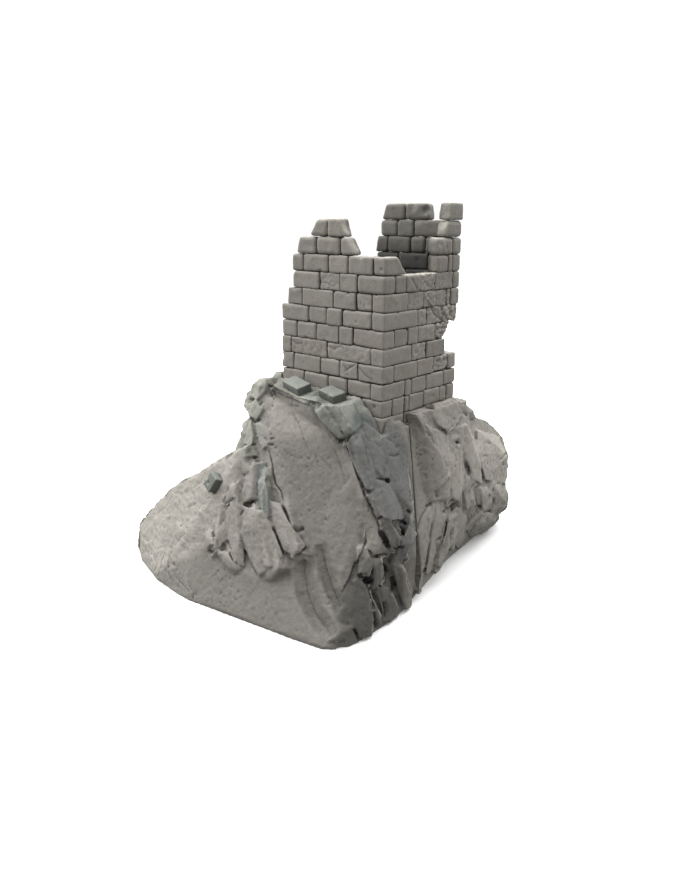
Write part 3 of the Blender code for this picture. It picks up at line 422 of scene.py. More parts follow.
class MeshArrays:
    """Points, normals and edges of a mesh as arrays, in metres."""

    def __init__(self, mesh: bpy.types.Mesh) -> None:
        """Read a mesh.

        Args:
            mesh: The mesh that is read, and written by store.
        """
        self.mesh = mesh
        self.points = self._read(mesh.vertices, "co")
        self.normals = self._read(mesh.vertex_normals, "vector")
        edges = np.empty(len(mesh.edges) * 2, np.int32)
        mesh.edges.foreach_get("vertices", edges)
        self.edges = edges.reshape(-1, 2)

    @staticmethod
    def _read(owner: Any, name: str) -> np.ndarray:
        """Read one vector per item.

        Args:
            owner: The items.
            name: The vector's name.

        Returns:
            One vector per row.
        """
        flat = np.empty(len(owner) * 3, np.float32)
        owner.foreach_get(name, flat)
        return flat.reshape(-1, 3).astype(float)

    def store(self) -> None:
        """Write the points to the mesh and read its normals again."""
        self.mesh.vertices.foreach_set("co", self.points.astype(np.float32).ravel())
        self.mesh.update()
        self.normals = self._read(self.mesh.vertex_normals, "vector")

    def hollow(self, rounds: int) -> np.ndarray:
        """How far each point lies in a hollow, in metres, below zero on an edge."""
        away = relaxed(self.points, self.edges, rounds) - self.points
        return (away * self.normals).sum(axis=1)

    def edge_shade(self, rounds: int, full_mm: float, dark: float, pale: float) -> np.ndarray:
        """Painted shade that darkens hollows, and painted highlight that pales edges.

        Args:
            rounds: How broad the hollows and edges are.
            full_mm: Depth of a hollow, or height of an edge, that takes the full shade.
            dark: How much the painted shade darkens a hollow.
            pale: How much the painted highlight pales an edge.

        Returns:
            One factor per point.
        """
        share = self.hollow(rounds) / (full_mm * MM)
        return 1.0 - dark * np.clip(share, 0.0, 1.0) + pale * np.clip(-share, 0.0, 1.0)

    def paint(self, tones: np.ndarray) -> None:
        """Store a colour per point.

        Args:
            tones: Red, green and blue, one row per point.
        """
        layer = self.mesh.color_attributes.new(TONE, "FLOAT_COLOR", "POINT")
        full = np.ones((len(tones), 4), np.float32)
        full[:, :3] = np.clip(tones, 0.0, 1.0)
        layer.data.foreach_set("color", full.ravel())


def tree_of(meshes: Iterable[bpy.types.Mesh]) -> BVHTree:
    """One tree for rays from the faces of several meshes.

    Args:
        meshes: Meshes in place.

    Returns:
        The tree.
    """
    points, faces = [], []
    for mesh in meshes:
        first = len(points)
        points += [vertex.co.copy() for vertex in mesh.vertices]
        faces += [[first + corner for corner in polygon.vertices] for polygon in mesh.polygons]
    return BVHTree.FromPolygons(points, faces)


class Crevices:
    """Finds points that are shut in, by short rays along their normals."""

    def __init__(self, meshes: Sequence[bpy.types.Mesh], reach_mm: float) -> None:
        """Read the meshes that shut each other in.

        Args:
            meshes: Meshes in place.
            reach_mm: How far the rays go.
        """
        self.tree = tree_of(meshes)
        self.reach = reach_mm * MM

    def share(self, arrays: MeshArrays) -> np.ndarray:
        """How shut in each point is, from 0 in the open to 1 where surfaces touch.

        Args:
            arrays: The mesh.

        Returns:
            One number per point.
        """
        shut = np.zeros(len(arrays.points))
        starts = arrays.points + arrays.normals * 0.02 * MM
        for index, (start, way) in enumerate(zip(starts, arrays.normals)):
            found = self.tree.ray_cast(start, way, self.reach)[3]
            if found is not None:
                shut[index] = 1.0 - found / self.reach
        return shut


def mesh_of(name: str, points: np.ndarray, faces: Sequence[Sequence[int]]) -> bpy.types.Mesh:
    """Make a mesh from arrays.

    Args:
        name: Its name.
        points: Its points, one per row.
        faces: Point numbers of each face.

    Returns:
        The mesh.
    """
    mesh = bpy.data.meshes.new(name)
    mesh.from_pydata(points.tolist(), [], faces)
    mesh.update()
    return mesh


def mesh_from(bm: bmesh.types.BMesh, name: str) -> bpy.types.Mesh:
    """Make a mesh from an editing mesh, and free that.

    Args:
        bm: The editing mesh.
        name: The mesh's name.

    Returns:
        The mesh.
    """
    mesh = bpy.data.meshes.new(name)
    bm.to_mesh(mesh)
    bm.free()
    return mesh


def add_object(name: str, mesh: bpy.types.Mesh) -> bpy.types.Object:
    """Put a mesh into the scene.

    Args:
        name: The object's name.
        mesh: Its mesh.

    Returns:
        The object.
    """
    made = bpy.data.objects.new(name, mesh)
    bpy.context.scene.collection.objects.link(made)
    return made


def evaluated(mesh: bpy.types.Mesh, kind: str, settings: dict[str, Any]) -> bpy.types.Mesh:
    """Put a mesh through one modifier.

    Args:
        mesh: The mesh.
        kind: The modifier's type.
        settings: The modifier's properties.

    Returns:
        The new mesh.
    """
    base = add_object(f"{mesh.name}_base", mesh)
    step = base.modifiers.new("step", kind)
    for key, setting in settings.items():
        setattr(step, key, setting)
    graph = bpy.context.evaluated_depsgraph_get()
    made = bpy.data.meshes.new_from_object(base.evaluated_get(graph))
    bpy.data.objects.remove(base, do_unlink=True)
    return made


def dress(piece: bpy.types.Object, node: str, finish: Any, material: bpy.types.Material) -> None:
    """Give a piece its material and let it stand for a CAD node.

    Args:
        piece: The piece, in its place.
        node: The CAD node that it replaces.
        finish: The finish; not used.
        material: The finish's material.
    """
    piece.data.materials.clear()
    piece.data.materials.append(material)
    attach(piece, frame["nodes"][node]["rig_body"])
    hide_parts(node)
    LOG.info("%s: %d faces for %s", piece.name, len(piece.data.polygons), node)


# Camera and studio

@dataclass(frozen=True)
class ViewCamera:
    """The camera at the photograph's viewing angle, read from the tower's courses and corners."""
    width: int = 700
    height: int = 869
    focal: float = 711.5
    yaw: float = 40.8
    pitch: float = 16.4
    roll: float = 0.63
    place: Triple = (0.206456, -0.229824, 0.144816)

    def matrix(self) -> Matrix:
        """Place and turn of the camera.

        Returns:
            The camera's matrix.
        """
        yaw, pitch = math.radians(self.yaw), math.radians(self.pitch)
        level = math.cos(pitch)
        ahead = Vector((-math.sin(yaw) * level, math.cos(yaw) * level, -math.sin(pitch)))
        roll = Matrix.Rotation(math.radians(self.roll), 4, "Z")
        turned = ahead.to_track_quat("-Z", "Y").to_matrix().to_4x4() @ roll
        turned.translation = self.place
        return turned

    def project(self, points: np.ndarray) -> np.ndarray:
        """Pixel of each point.

        Args:
            points: Places, one per row.

        Returns:
            One pixel per row.
        """
        turn = np.array(self.matrix())
        local = (points - turn[:3, 3]) @ turn[:3, :3]
        scale = self.focal / np.maximum(-local[:, 2], 1e-6)
        return np.stack([self.width / 2 + local[:, 0] * scale, self.height / 2 - local[:, 1] * scale], axis=1)

    def ray(self, pixel: Pixel) -> Vector:
        """Direction through a pixel."""
        local = Vector((pixel[0] - self.width / 2, self.height / 2 - pixel[1], -self.focal))
        return (self.matrix().to_3x3() @ local).normalized()

    def make(self) -> None:
        """Make the scene's camera."""
        lens = bpy.data.cameras.new("view_camera")
        lens.lens = self.focal / self.height * lens.sensor_width
        lens.clip_start = 0.005
        made = bpy.data.objects.new("view_camera", lens)
        made.matrix_world = self.matrix()
        bpy.context.scene.collection.objects.link(made)
        bpy.context.scene.camera = made


CAMERA = ViewCamera()


@dataclass(frozen=True)
class Lamp:
    """A broad square lamp that looks at the tower: bearing from the camera's view, rise, power and size."""
    bearing: float
    rise: float
    power: float
    size: float = 0.9
    reach: float = 1.0
    target: Triple = (0.0, -0.01, 0.06)

    def make(self, name: str) -> None:
        """Put the lamp into the scene.

        Args:
            name: The lamp's name.
        """
        turn, rise = math.radians(90.0 + CAMERA.yaw - self.bearing), math.radians(self.rise)
        way = Vector((math.cos(turn) * math.cos(rise), math.sin(turn) * math.cos(rise), math.sin(rise)))
        lamp = bpy.data.lights.new(name, "AREA")
        lamp.energy = self.power
        lamp.size = self.size
        made = bpy.data.objects.new(name, lamp)
        made.location = Vector(self.target) + way * self.reach
        made.rotation_euler = (-way).to_track_quat("-Z", "Y").to_euler()
        bpy.context.scene.collection.objects.link(made)


@dataclass
class Studio:
    """A pale floor, an even dome of soft light, and broad lamps, the strongest behind on the left."""
    floor_radius: float = 60.0
    floor_sides: int = 96
    floor_drop: float = 0.00015
    floor_tone: float = 0.97
    floor_cloud: float = 0.02
    cloud_mm: float = 60.0
    dome: float = 1.07
    dome_below: float = 0.1
    horizon: tuple[float, float] = (0.485, 0.496)
    lamps: tuple[Lamp, ...] = (Lamp(315.0, 45.0, 8.0), Lamp(280.0, 30.0, 6.0), Lamp(270.0, 60.0, 4.0),
                               Lamp(45.0, 50.0, 6.0), Lamp(90.0, 70.0, 3.0), Lamp(0.0, 88.0, 4.0))

    def build(self) -> None:
        """Make the floor, the dome and the lamps."""
        self._floor()
        self._dome()
        for number, lamp in enumerate(self.lamps, 1):
            lamp.make(f"lamp_{number}")

    def _floor(self) -> None:
        """Make the floor."""
        bm = bmesh.new()
        bmesh.ops.create_circle(bm, cap_ends=True, segments=self.floor_sides, radius=self.floor_radius)
        floor = add_object("floor", mesh_from(bm, "floor"))
        floor.location.z = -self.floor_drop
        graph = Graph(bpy.data.materials.new("pale_floor"))
        dark, pale = self.floor_tone - self.floor_cloud, self.floor_tone + self.floor_cloud
        graph.feed("Base Color", graph.ramp(graph.noise(self.cloud_mm, 2.0), (0.0, dark), (1.0, pale)))
        graph.feed("Roughness", 0.9)
        graph.feed("Specular IOR Level", 0.0)
        floor.data.materials.append(graph.owner)
        floor.visible_diffuse = False

    def _dome(self) -> None:
        """Light the scene softly from above the horizon, and little from below."""
        world = bpy.data.worlds.new("dome")
        bpy.context.scene.world = world
        graph = Graph(world, "Background")
        way = graph.add("ShaderNodeTexCoord", {}, {}, "Generated")
        height = graph.add("ShaderNodeSeparateXYZ", {}, {0: way}, "Z")
        low, high = self.horizon
        graph.feed("Color", graph.ramp(0.5 + 0.5 * height, (low, self.dome_below), (high, self.dome)))


# Marks placed by pixel

class Mark(Enum):
    """Ways a line marks the surface."""
    CRACK = "crack"
    STEP = "step"
    RIB = "rib"
    FOLD = "fold"


CRACK, STEP, RIB, FOLD = Mark


@dataclass(frozen=True)
class Stroke:
    """A line on the surface, by pixels. A step or a fold drops the side to the right of the line's way."""
    mark: Mark
    line: tuple[Pixel, ...]
    width: float
    depth_mm: float

    def depths(self, pixels: np.ndarray) -> np.ndarray:
        """How far the line pushes each pixel's surface in, in metres.

        Args:
            pixels: Pixels, one per row.

        Returns:
            One depth per pixel, below zero where the line stands out.
        """
        nearest = np.full(len(pixels), 1e9)
        side = np.zeros(len(pixels))
        along = np.zeros(len(pixels))
        spans = [math.dist(a, b) for a, b in zip(self.line, self.line[1:])]
        done = 0.0
        for (a, b), span in zip(zip(self.line, self.line[1:]), spans):
            way = np.array(b) - np.array(a)
            away = pixels - np.array(a)
            share = np.clip(away @ way / (way @ way), 0.0, 1.0)
            gap = away - share[:, None] * way
            distance = np.linalg.norm(gap, axis=1)
            closer = distance < nearest
            nearest = np.where(closer, distance, nearest)
            side = np.where(closer, way[0] * away[:, 1] - way[1] * away[:, 0], side)
            along = np.where(closer, done + share * span, along)
            done += span
        taper = np.sqrt(np.clip(np.minimum(along, done - along) / (0.18 * done), 0.0, 1.0))
        share = nearest / self.width
        if self.mark is STEP:
            shape = np.where(side > 0.0, np.clip(1.0 - share, 0.0, 1.0) ** 1.5, 0.0)
        elif self.mark is FOLD:
            fall = np.clip(np.minimum(share / 0.4, (1.0 - share) / 0.6), 0.0, 1.0)
            shape = np.where(side > 0.0, fall, 0.0)
        else:
            shape = np.exp(-(share / 0.6) ** 2) * (-1.0 if self.mark is RIB else 1.0)
        return shape * taper * self.depth_mm * MM


@dataclass(frozen=True)
class Zone:
    """A part of the surface, by the pixels of its outline."""
    outline: tuple[Pixel, ...]
    soft: float

    def share(self, pixels: np.ndarray) -> np.ndarray:
        """How far inside each pixel is, from 0 to 1 across the soft edge.

        Args:
            pixels: Pixels, one per row.

        Returns:
            One share per pixel.
        """
        inside = np.zeros(len(pixels), bool)
        nearest = np.full(len(pixels), 1e9)
        for a, b in zip(self.outline, self.outline[1:] + self.outline[:1]):
            start, way = np.array(a), np.array(b) - np.array(a)
            crosses = (pixels[:, 1] < a[1]) != (pixels[:, 1] < b[1])
            reach = a[0] + (pixels[:, 1] - a[1]) / ((b[1] - a[1]) or 1e-9) * (b[0] - a[0])
            inside ^= crosses & (pixels[:, 0] < reach)
            away = pixels - start
            share = np.clip(away @ way / (way @ way), 0.0, 1.0)
            nearest = np.minimum(nearest, np.linalg.norm(away - share[:, None] * way, axis=1))
        return step_up(-self.soft, self.soft, np.where(inside, nearest, -nearest))


@dataclass(frozen=True)
class Flake:
    """A slab of rock that stands proud: pixels of its outline, and how far each is lifted, in millimetres."""
    outline: tuple[Triple, ...]
    sink_mm: float


def pairs(flat: Sequence[float]) -> tuple[Pixel, ...]:
    """Pixels from numbers that follow each other."""
    return tuple(zip(flat[::2], flat[1::2]))


def zone_of(soft: float, *flat: float) -> Zone:
    """A zone from its soft edge and the numbers of its outline."""
    return Zone(pairs(flat), soft)


def strokes_of(rows: Iterable[Sequence[Any]]) -> tuple[Stroke, ...]:
    """Strokes from rows of mark, width in pixels, depth in millimetres, and the numbers of the line."""
    return tuple(Stroke(mark, pairs(flat), width, depth) for mark, width, depth, *flat in rows)


def flakes_of(rows: Iterable[Sequence[float]]) -> tuple[Flake, ...]:
    """Flakes from rows of sink in millimetres, then the pixel and the lift of each corner."""
    return tuple(Flake(tuple(zip(flat[::3], flat[1::3], flat[2::3])), sink) for sink, *flat in rows)


# Blocks

@dataclass
class BlockForm:
    """One weathered block between eight corners, with worn edges, chips and an uneven skin."""
    corners: np.ndarray
    seed: int
    spacing_mm: float = 0.5
    edge_mm: float = 0.75
    rough: float = 0.0
    jitter_mm: float = 0.13
    skin_mm: float = 0.1
    chips: int = 2
    wave_mm: float = 2.6
    facet_mm: float = 1.7
    facet_lift: float = 0.34
    facet_crack: float = 0.16
    crumb_lift: float = 0.12
    chip_depth: float = 0.45

    def lines(self, length: float) -> np.ndarray:
        """Grid lines along one side, closer at the worn edges.

        Args:
            length: The side's length.

        Returns:
            Places along the side.
        """
        edge = min(self.edge_mm * MM, 0.4 * length)
        count = max(2, round((length - 2 * edge) / (self.spacing_mm * MM)))
        inner = np.linspace(edge, length - edge, count + 1)
        ends = np.array([0.0, 0.4 * edge])
        return np.concatenate([ends, inner, length - ends[::-1]])

    @staticmethod
    def grid(lines: Sequence[np.ndarray]) -> tuple[np.ndarray, list[list[int]]]:
        """Points and faces of a box's skin.

        Args:
            lines: Grid lines of the three sides.

        Returns:
            The points and the four-sided faces, which point out.
        """
        counts = tuple(len(line) for line in lines)
        skin = np.ones(counts, bool)
        skin[1:-1, 1:-1, 1:-1] = False
        index = np.full(counts, -1)
        index[skin] = np.arange(skin.sum())
        points = np.stack([line[place] for line, place in zip(lines, np.nonzero(skin))], axis=1)
        faces = []
        for axis in range(3):
            for end in (0, -1):
                side = np.take(index, end, axis=axis)
                quads = np.stack([side[:-1, :-1], side[1:, :-1], side[1:, 1:], side[:-1, 1:]], axis=-1)
                quads = quads.reshape(-1, 4)
                if (axis == 1) == (end == -1):
                    quads = quads[:, ::-1]
                faces += quads.tolist()
        return points, faces

    def build(self) -> tuple[np.ndarray, list[list[int]]]:
        """Shape the block.

        Returns:
            Its points in place and its faces.
        """
        chance = random.Random(self.seed)
        noise = Noise(self.seed % 991)
        ends = [(self.corners.take(0, axis), self.corners.take(1, axis)) for axis in range(3)]
        spans = [(last - first).mean(axis=(0, 1)) for first, last in ends]
        sides = [np.linalg.norm(span) for span in spans]
        points, faces = self.grid([self.lines(side) for side in sides])
        size = np.array(sides)
        edge = np.minimum(self.edge_mm * MM * chance.uniform(0.8, 1.2), 0.4 * size)
        core = np.clip(points, edge, size - edge)
        away = points - core
        length = np.maximum(np.linalg.norm(away, axis=1), 1e-9)[:, None]
        outward = away / length
        points = core + outward * edge.min()
        grown = (edge - edge.min()) * np.sign(np.round(outward, 6))
        points = points + np.where(np.abs(outward) > 0.99, grown, 0.0)
        corners = self.corners + np.array([[[[chance.uniform(-1, 1) for _ in range(3)] for _ in range(2)]
                                            for _ in range(2)] for _ in range(2)]) * self.jitter_mm * MM
        share = points / size
        placed = np.zeros_like(points)
        for i, j, k in product((0, 1), repeat=3):
            weight = np.ones(len(points))
            for axis, end in enumerate((i, j, k)):
                weight = weight * (share[:, axis] if end else 1.0 - share[:, axis])
            placed += weight[:, None] * corners[i, j, k]
        out = outward @ np.stack([span / side for span, side in zip(spans, sides)])
        drift = np.array([chance.uniform(-50, 50) for _ in range(3)])
        where = placed / MM + drift
        skin = self.skin_mm * noise.fractal(where / self.wave_mm, 3)
        if self.rough:
            plane, gap = noise.facets(where / self.facet_mm)
            skin = skin + self.rough * (self.facet_lift * plane - self.facet_crack * step_up(0.2, 0.0, gap)
                                        + self.crumb_lift * noise.fractal(where, 2))
        for _ in range(self.chips):
            middle = points[chance.randrange(len(points))]
            nearest_end = np.where(middle > size / 2, size, 0.0)
            middle = np.where(np.abs(middle / size - 0.5) > 0.22, nearest_end, middle)
            reach = chance.uniform(0.5, 1.3) * MM
            near = np.linalg.norm(points - middle, axis=1) / reach
            skin = skin - self.chip_depth * (reach / MM) * np.clip(1.0 - near * near, 0.0, 1.0)
        return placed + out * skin[:, None] * MM, faces


@dataclass(frozen=True)
class Dent:
    """A scoop out of a piece: the pixel of its middle, its reach and its depth."""
    node: str
    pixel: Pixel
    reach_mm: float
    depth_mm: float


@dataclass(frozen=True)
class Run:
    """A length of one course: stations round the tower, and the set-back of each end, in courses."""
    node: str
    course: int
    start: float | None = None
    end: float | None = None
    start_slope: float = 0.0
    end_slope: float = 0.0


@dataclass(frozen=True)
class Stub:
    """A single block: wall, course, shares of the wall, and the set-backs of its ends, in courses."""
    node: str
    wall: int
    course: int
    start: float
    end: float
    start_slope: float = 0.0
    end_slope: float = 0.0


@dataclass(frozen=True)
class Wear:
    """A block that stands out or is worn: course, middle across the picture, proudness and roughness."""
    course: int
    across: float
    proud_mm: float
    rough: float


@dataclass
class Laid:
    """A block as laid: wall, course, reach along the wall, depth, and the set-backs of its ends."""
    wall: int
    course: int
    start: float
    end: float
    depth: float
    start_slope: float = 0.0
    end_slope: float = 0.0
    proud: float = 0.0
    rough: float = 0.0


FRONT, RIGHT, BACK, LEFT = range(4)

# Relative block lengths of each course: the front wall from its left end, then on round the tower
BLOCK_LENGTHS = {
    1: ((1.2, 2, 2.1, 1.9, 0.9), (2.2, 1.9, 1.6, 1.8), (0.9, 2.2, 1.7, 2.4, 0.9), (2, 1.5, 2.2, 1.8)),
    2: ((2.3, 1.4, 1.7, 1.1, 1.6), (1, 1.2, 0.4, 1.5, 1.7, 1.7), (1.8, 1.5, 2, 2.8), (0.9, 2.1, 1.8, 2.7)),
    3: ((1.9, 2, 1.5, 1.8, 0.9), (2.2, 0.6, 1.5, 1.9, 1.3), (1, 2.3, 1.4, 2.2, 1.2), (1.7, 1.3, 2.5, 2)),
    4: ((1, 2.3, 1.6, 1.4, 1.9), (1, 2.3, 1.7, 1.6, 0.9), (2.1, 1.6, 1.9, 1.5, 1), (2, 1.8, 2.7, 1)),
    5: ((0.8, 3, 3.4, 0.9), (2.7, 1.5, 3.3), (1.5, 1.7, 2.6, 2.3), (0.9, 2.4, 1.7, 2.5)),
    6: ((1.3, 1.7, 1.8, 1.1, 2.3), (1, 1.3, 1, 1.8, 2.4), (2.2, 2, 1.3, 2.6), (1.9, 1.5, 3.1, 0.9)),
    7: ((2.3, 1.5, 1.2, 2.2, 0.9), (3.2, 1, 1.6, 1.7), (1, 2.7, 1.6, 2.8), (0.9, 2.2, 1.9, 2.5)),
    8: ((1.8, 2.5, 1.7, 1.2, 0.9), (2.2, 1.6, 2.4, 1.3), (2.4, 1.5, 2.3, 1.9), (2.1, 1.6, 2, 1.8)),
    9: ((3.2, 1.6, 1.3, 2), (1, 1, 1.4, 1.5, 1.9, 0.7), (1.3, 2.3, 1.9, 2.6), (1.5, 2, 2, 2)),
    10: ((1.9, 2, 1.5, 1.8, 0.9), (2.3, 1.4, 2.5, 1.3), (1.9, 2.3, 2.2, 1.7), (2, 2, 2, 1.5)),
}

WEAR = tuple(Wear(*row) for row in (
    (10, 338, 0.1, 0.1), (9, 305, 0.1, 0), (9, 330, -0.3, 0.5), (9, 349, 0.15, 0), (9, 402, 0.1, 0.2),
    (9, 412, 0.2, 0.1), (9, 428, -0.5, 1.2), (9, 445, -0.4, 0.5), (9, 457, -0.4, 0.4), (8, 363, -0.25, 0.5),
    (8, 417, -0.3, 0.4), (8, 436, -0.5, 0.8), (8, 453, -0.45, 1.2), (7, 333, 0.4, 0), (7, 356, 0.15, 0.1),
    (7, 401, 0.2, 0), (7, 423, -0.4, 0.7), (7, 436, -0.5, 1.4), (7, 451, -0.5, 2), (6, 428, -0.1, 0.3),
    (6, 443, -0.4, 2), (5, 309, -0.05, 0.45), (5, 348, -0.05, 0.45), (5, 419, -0.2, 0.6), (4, 348, 0, 0.3),
    (4, 372, 0.1, 0.1), (4, 441, -0.3, 1.3), (4, 450, -0.3, 1.2), (3, 409, 0.15, 0), (2, 409, 0.15, 0),
))

# Stubs above the broken courses
STUBS = (
    Stub("front_11_left", FRONT, 11, 0.16, 0.36, 0.25),
    Stub("front_11_middle", FRONT, 11, 0.36, 0.59),
    Stub("front_11_right", FRONT, 11, 0.59, 0.73, 0.0, 0.66),
    Stub("front_12_left", FRONT, 12, 0.28, 0.47, 0.66),
    Stub("front_12_right", FRONT, 12, 0.47, 0.63, 0.0, 0.36),
    Stub("right_11_end", RIGHT, 11, 0.66, 0.88),
    Stub("right_11_corner", RIGHT, 11, 0.88, 1.0),
    Stub("back_11_inner", BACK, 11, 0.107, 0.27),
    Stub("back_11_middle", BACK, 11, 0.27, 0.41),
    Stub("back_11_long", BACK, 11, 0.41, 0.63),
    Stub("back_11_end", BACK, 11, 0.63, 0.76, 0.0, 0.22),
    Stub("right_12_corner", RIGHT, 12, 0.76, 1.0, 0.28),
    Stub("back_12_inner", BACK, 12, 0.107, 0.38),
    Stub("back_12_middle", BACK, 12, 0.38, 0.54),
    Stub("back_12_end", BACK, 12, 0.54, 0.71),
    Stub("right_13_corner", RIGHT, 13, 0.8, 1.0, 0.14),
    Stub("back_13_inner", BACK, 13, 0.24, 0.47, 0.19),
    Stub("back_13_end", BACK, 13, 0.47, 0.7, 0.0, 0.3),
)

DENTS = tuple(Dent(*row) for row in (
    ("back_13_inner", (426, 210), 2, 1.2), ("back_13_inner", (413, 207), 2.2, 0.7),
    ("front_12_right", (345, 229), 2.8, 0.9), ("right_13_corner", (446, 209), 2.8, 1.5),
    ("right_12_corner", (442, 223), 2.6, 1), ("front_11_right", (357, 245), 2.4, 0.7),
    ("right_11_end", (441, 244), 1.3, 0.7), ("back_12_inner", (418, 222), 2, 0.5),
))

WALL_STROKES = strokes_of((
    (CRACK, 1.3, 0.5, 345, 371, 351, 367, 356.5, 363.5),
    (CRACK, 1.3, 0.5, 356.5, 365, 362, 372, 367, 377, 374, 381.5),
    (CRACK, 1.2, 0.35, 343, 364, 347, 370, 348, 376), (CRACK, 1.3, 0.4, 291, 339, 297, 344, 303, 343),
    (CRACK, 1.3, 0.4, 327, 346, 334, 349, 341, 346, 346, 352),
    (CRACK, 1.3, 0.3, 318, 281, 326, 283, 335, 287), (CRACK, 1.2, 0.5, 428, 301, 432, 308, 435, 316),
    (CRACK, 1.2, 0.5, 433, 313, 439, 318, 443, 322), (RIB, 1.2, 0.4, 426, 297, 430, 303, 436, 309),
    (RIB, 1.4, 0.5, 444, 310, 450, 322, 447, 332), (CRACK, 1.2, 0.5, 411, 277, 415, 284, 418.5, 291),
    (CRACK, 1.3, 0.5, 433, 360, 441, 362, 447, 358),
))


@dataclass
class Masonry:
    """The tower's block work: courses, stubs and their wear."""
    length: float = 52.0 * MM
    depth: float = 48.0 * MM
    wall: float = 5.4 * MM
    course: float = 6.4 * MM
    bed: float = 0.3 * MM
    joint: float = 0.3 * MM
    bed_joint: float = 0.08 * MM
    left: float = -1.0 * MM
    front: float = -32.0 * MM
    seat: float = 70.0 * MM
    seam: float = 13.8 * MM
    seam_gap: float = 0.4 * MM
    split_courses: int = 3
    deepest_corner: float = 7.6 * MM
    proud: float = 0.17 * MM
    shortest: float = 1.8 * MM
    wear_reach: float = 7.0
    outer_skin: float = 1.2 * MM
    tone: Triple = (0.226, 0.213, 0.187)
    finish: ResinFinish = ResinFinish("masonry_resin_cast", "masonry_resin", 7.0, 0.8, 0.9, 0.25, 0.74, 0.6)
    shown_walls: tuple[int, ...] = (FRONT, RIGHT)
    fine_mm: float = 0.5
    plain_mm: float = 0.8
    # Painted shade in the joints, where blocks shut each other in
    crevice_mm: float = 1.7
    joint_shade: float = 0.97
    joint_shade_reach: tuple[float, float] = (1.0 * MM, 2.4 * MM)
    # Painted shade in the blocks' hollows and painted highlight on their edges
    hollow_shade: float = 0.3
    edge_highlight: float = 0.12
    edge_mm: float = 0.12
    chip_tone: float = 0.45
    rough_tone: float = 0.16
    stub_wear: float = 1.5
    stub_rough: float = 0.15
    inner_shade: float = 0.87
    # Painted light: up-facing faces paler, as lit from above
    painted_top_light: float = 0.45

    def wall_length(self, wall: int) -> float:
        """Length of a wall's outer face."""
        return self.length if wall in (FRONT, BACK) else self.depth

    def station(self, wall: int, distance: float) -> float:
        """Distance round the tower of a place on a wall."""
        return sum(self.wall_length(before) for before in range(wall)) + distance

    def place(self, wall: int, along: float, inward: float, height: float) -> Triple:
        """Point of a wall.

        Args:
            wall: Number of the wall.
            along: Distance from the wall's start.
            inward: Distance in from the outer face.
            height: Height above the ground.

        Returns:
            The point.
        """
        right, back = self.left + self.length, self.front + self.depth
        spots = {
            FRONT: (self.left + along, self.front + inward), RIGHT: (right - inward, self.front + along),
            BACK: (right - along, back - inward), LEFT: (self.left + inward, back - along)}
        return (*spots[wall], height)

    def runs(self) -> list[Run]:
        """Every course as lengths of block work.

        Returns:
            The runs, from the lowest up.
        """
        gap = self.seam_gap / 2
        left_seam = self.station(LEFT, self.depth - self.seam)
        right_seam = self.station(RIGHT, self.seam)
        around = self.station(LEFT, self.depth)
        found = []
        for course in range(1, self.split_courses + 1):
            name = f"course_{course:02d}"
            found.append(Run(f"{name}_front", course, left_seam + gap - around, right_seam - gap))
            found.append(Run(f"{name}_rear", course, right_seam + gap, left_seam - gap))
        found += [Run("course_04", 4), Run("course_07", 7)]
        broken = (
            ("course_05", 5, (BACK, 0.16), (RIGHT, 0.83), 0.16, 0.09),
            ("course_06", 6, (BACK, 0.15), (RIGHT, 0.81), 0.12, -0.8),
            ("course_08", 8, (FRONT, 0.06), (LEFT, 0.35), 0.09, 0.47),
            ("course_09", 9, (FRONT, 0.12), (BACK, 0.85), 0.05, 0.4),
            ("course_10_front", 10, (FRONT, 0.11), (RIGHT, 0.28), 0.06, 0.87),
            ("course_10_back", 10, (RIGHT, 0.67), (BACK, 0.75), 0.05, 0.08))
        for node, course, start, end, first, last in broken:
            ends = [self.station(wall, share * self.wall_length(wall)) for wall, share in (start, end)]
            if ends[1] < ends[0]:
                ends[1] += around
            found.append(Run(node, course, *ends, first, last))
        return found

    def laid(self, run: Run) -> list[Laid]:
        """Blocks of a run, with the corner blocks as bonded corner stones.

        Args:
            run: The length of course.

        Returns:
            The blocks.
        """
        around = self.station(LEFT, self.depth)
        joints = []
        for wall, lengths in enumerate(BLOCK_LENGTHS[run.course]):
            scale = self.wall_length(wall) / sum(lengths)
            joints += [self.station(wall, sum(lengths[:count]) * scale) for count in range(1, len(lengths))]
        if run.start is None:
            spans = list(zip(joints, joints[1:] + [joints[0] + around]))
        else:
            low, high = run.start + self.shortest, run.end - self.shortest
            turned = sorted(place + turn * around for place in joints for turn in (-1, 0, 1))
            marks = [run.start, *(place for place in turned if low < place < high), run.end]
            spans = list(zip(marks, marks[1:]))
        chance = random.Random(run.course * 31 + len(spans))
        found = []
        for index, (start, end) in enumerate(spans):
            first = run.start_slope if index == 0 else 0.0
            last = run.end_slope if index == len(spans) - 1 else 0.0
            proud = chance.uniform(-self.proud, self.proud)
            for block in self.bonded(run.course, start, end):
                block.proud = proud
                block.start_slope = first if block.start > 0.0 else 0.0
                block.end_slope = last if block.end < self.wall_length(block.wall) else 0.0
                found.append(block)
        return found

    def bonded(self, course: int, start: float, end: float) -> Iterable[Laid]:
        """One block of a course, or the one or two stones that turn a corner.

        Args:
            course: Number of the course.
            start: Station of the block's start.
            end: Station of its end.

        Returns:
            The stones.
        """
        around = self.station(LEFT, self.depth)
        wall, turn = 0, math.floor(start / around + 1e-9)
        while start >= self.station(wall, self.wall_length(wall)) + turn * around - 1e-9:
            wall += 1
        offset = self.station(wall, 0.0) + turn * around
        length = self.wall_length(wall)
        if end <= offset + length + 1e-9:
            yield Laid(wall, course, start - offset, end - offset, self.wall)
            return
        after = (wall + 1) % 4
        near, far = offset + length - start, end - offset - length
        if min(near, far) <= self.deepest_corner:
            if far >= near:
                yield Laid(after, course, 0.0, far, near)
            else:
                yield Laid(wall, course, length - near, length, far)
        else:
            yield Laid(after, course, 0.0, far, self.wall)
            yield Laid(wall, course, length - near, length - self.wall - self.joint, self.wall)

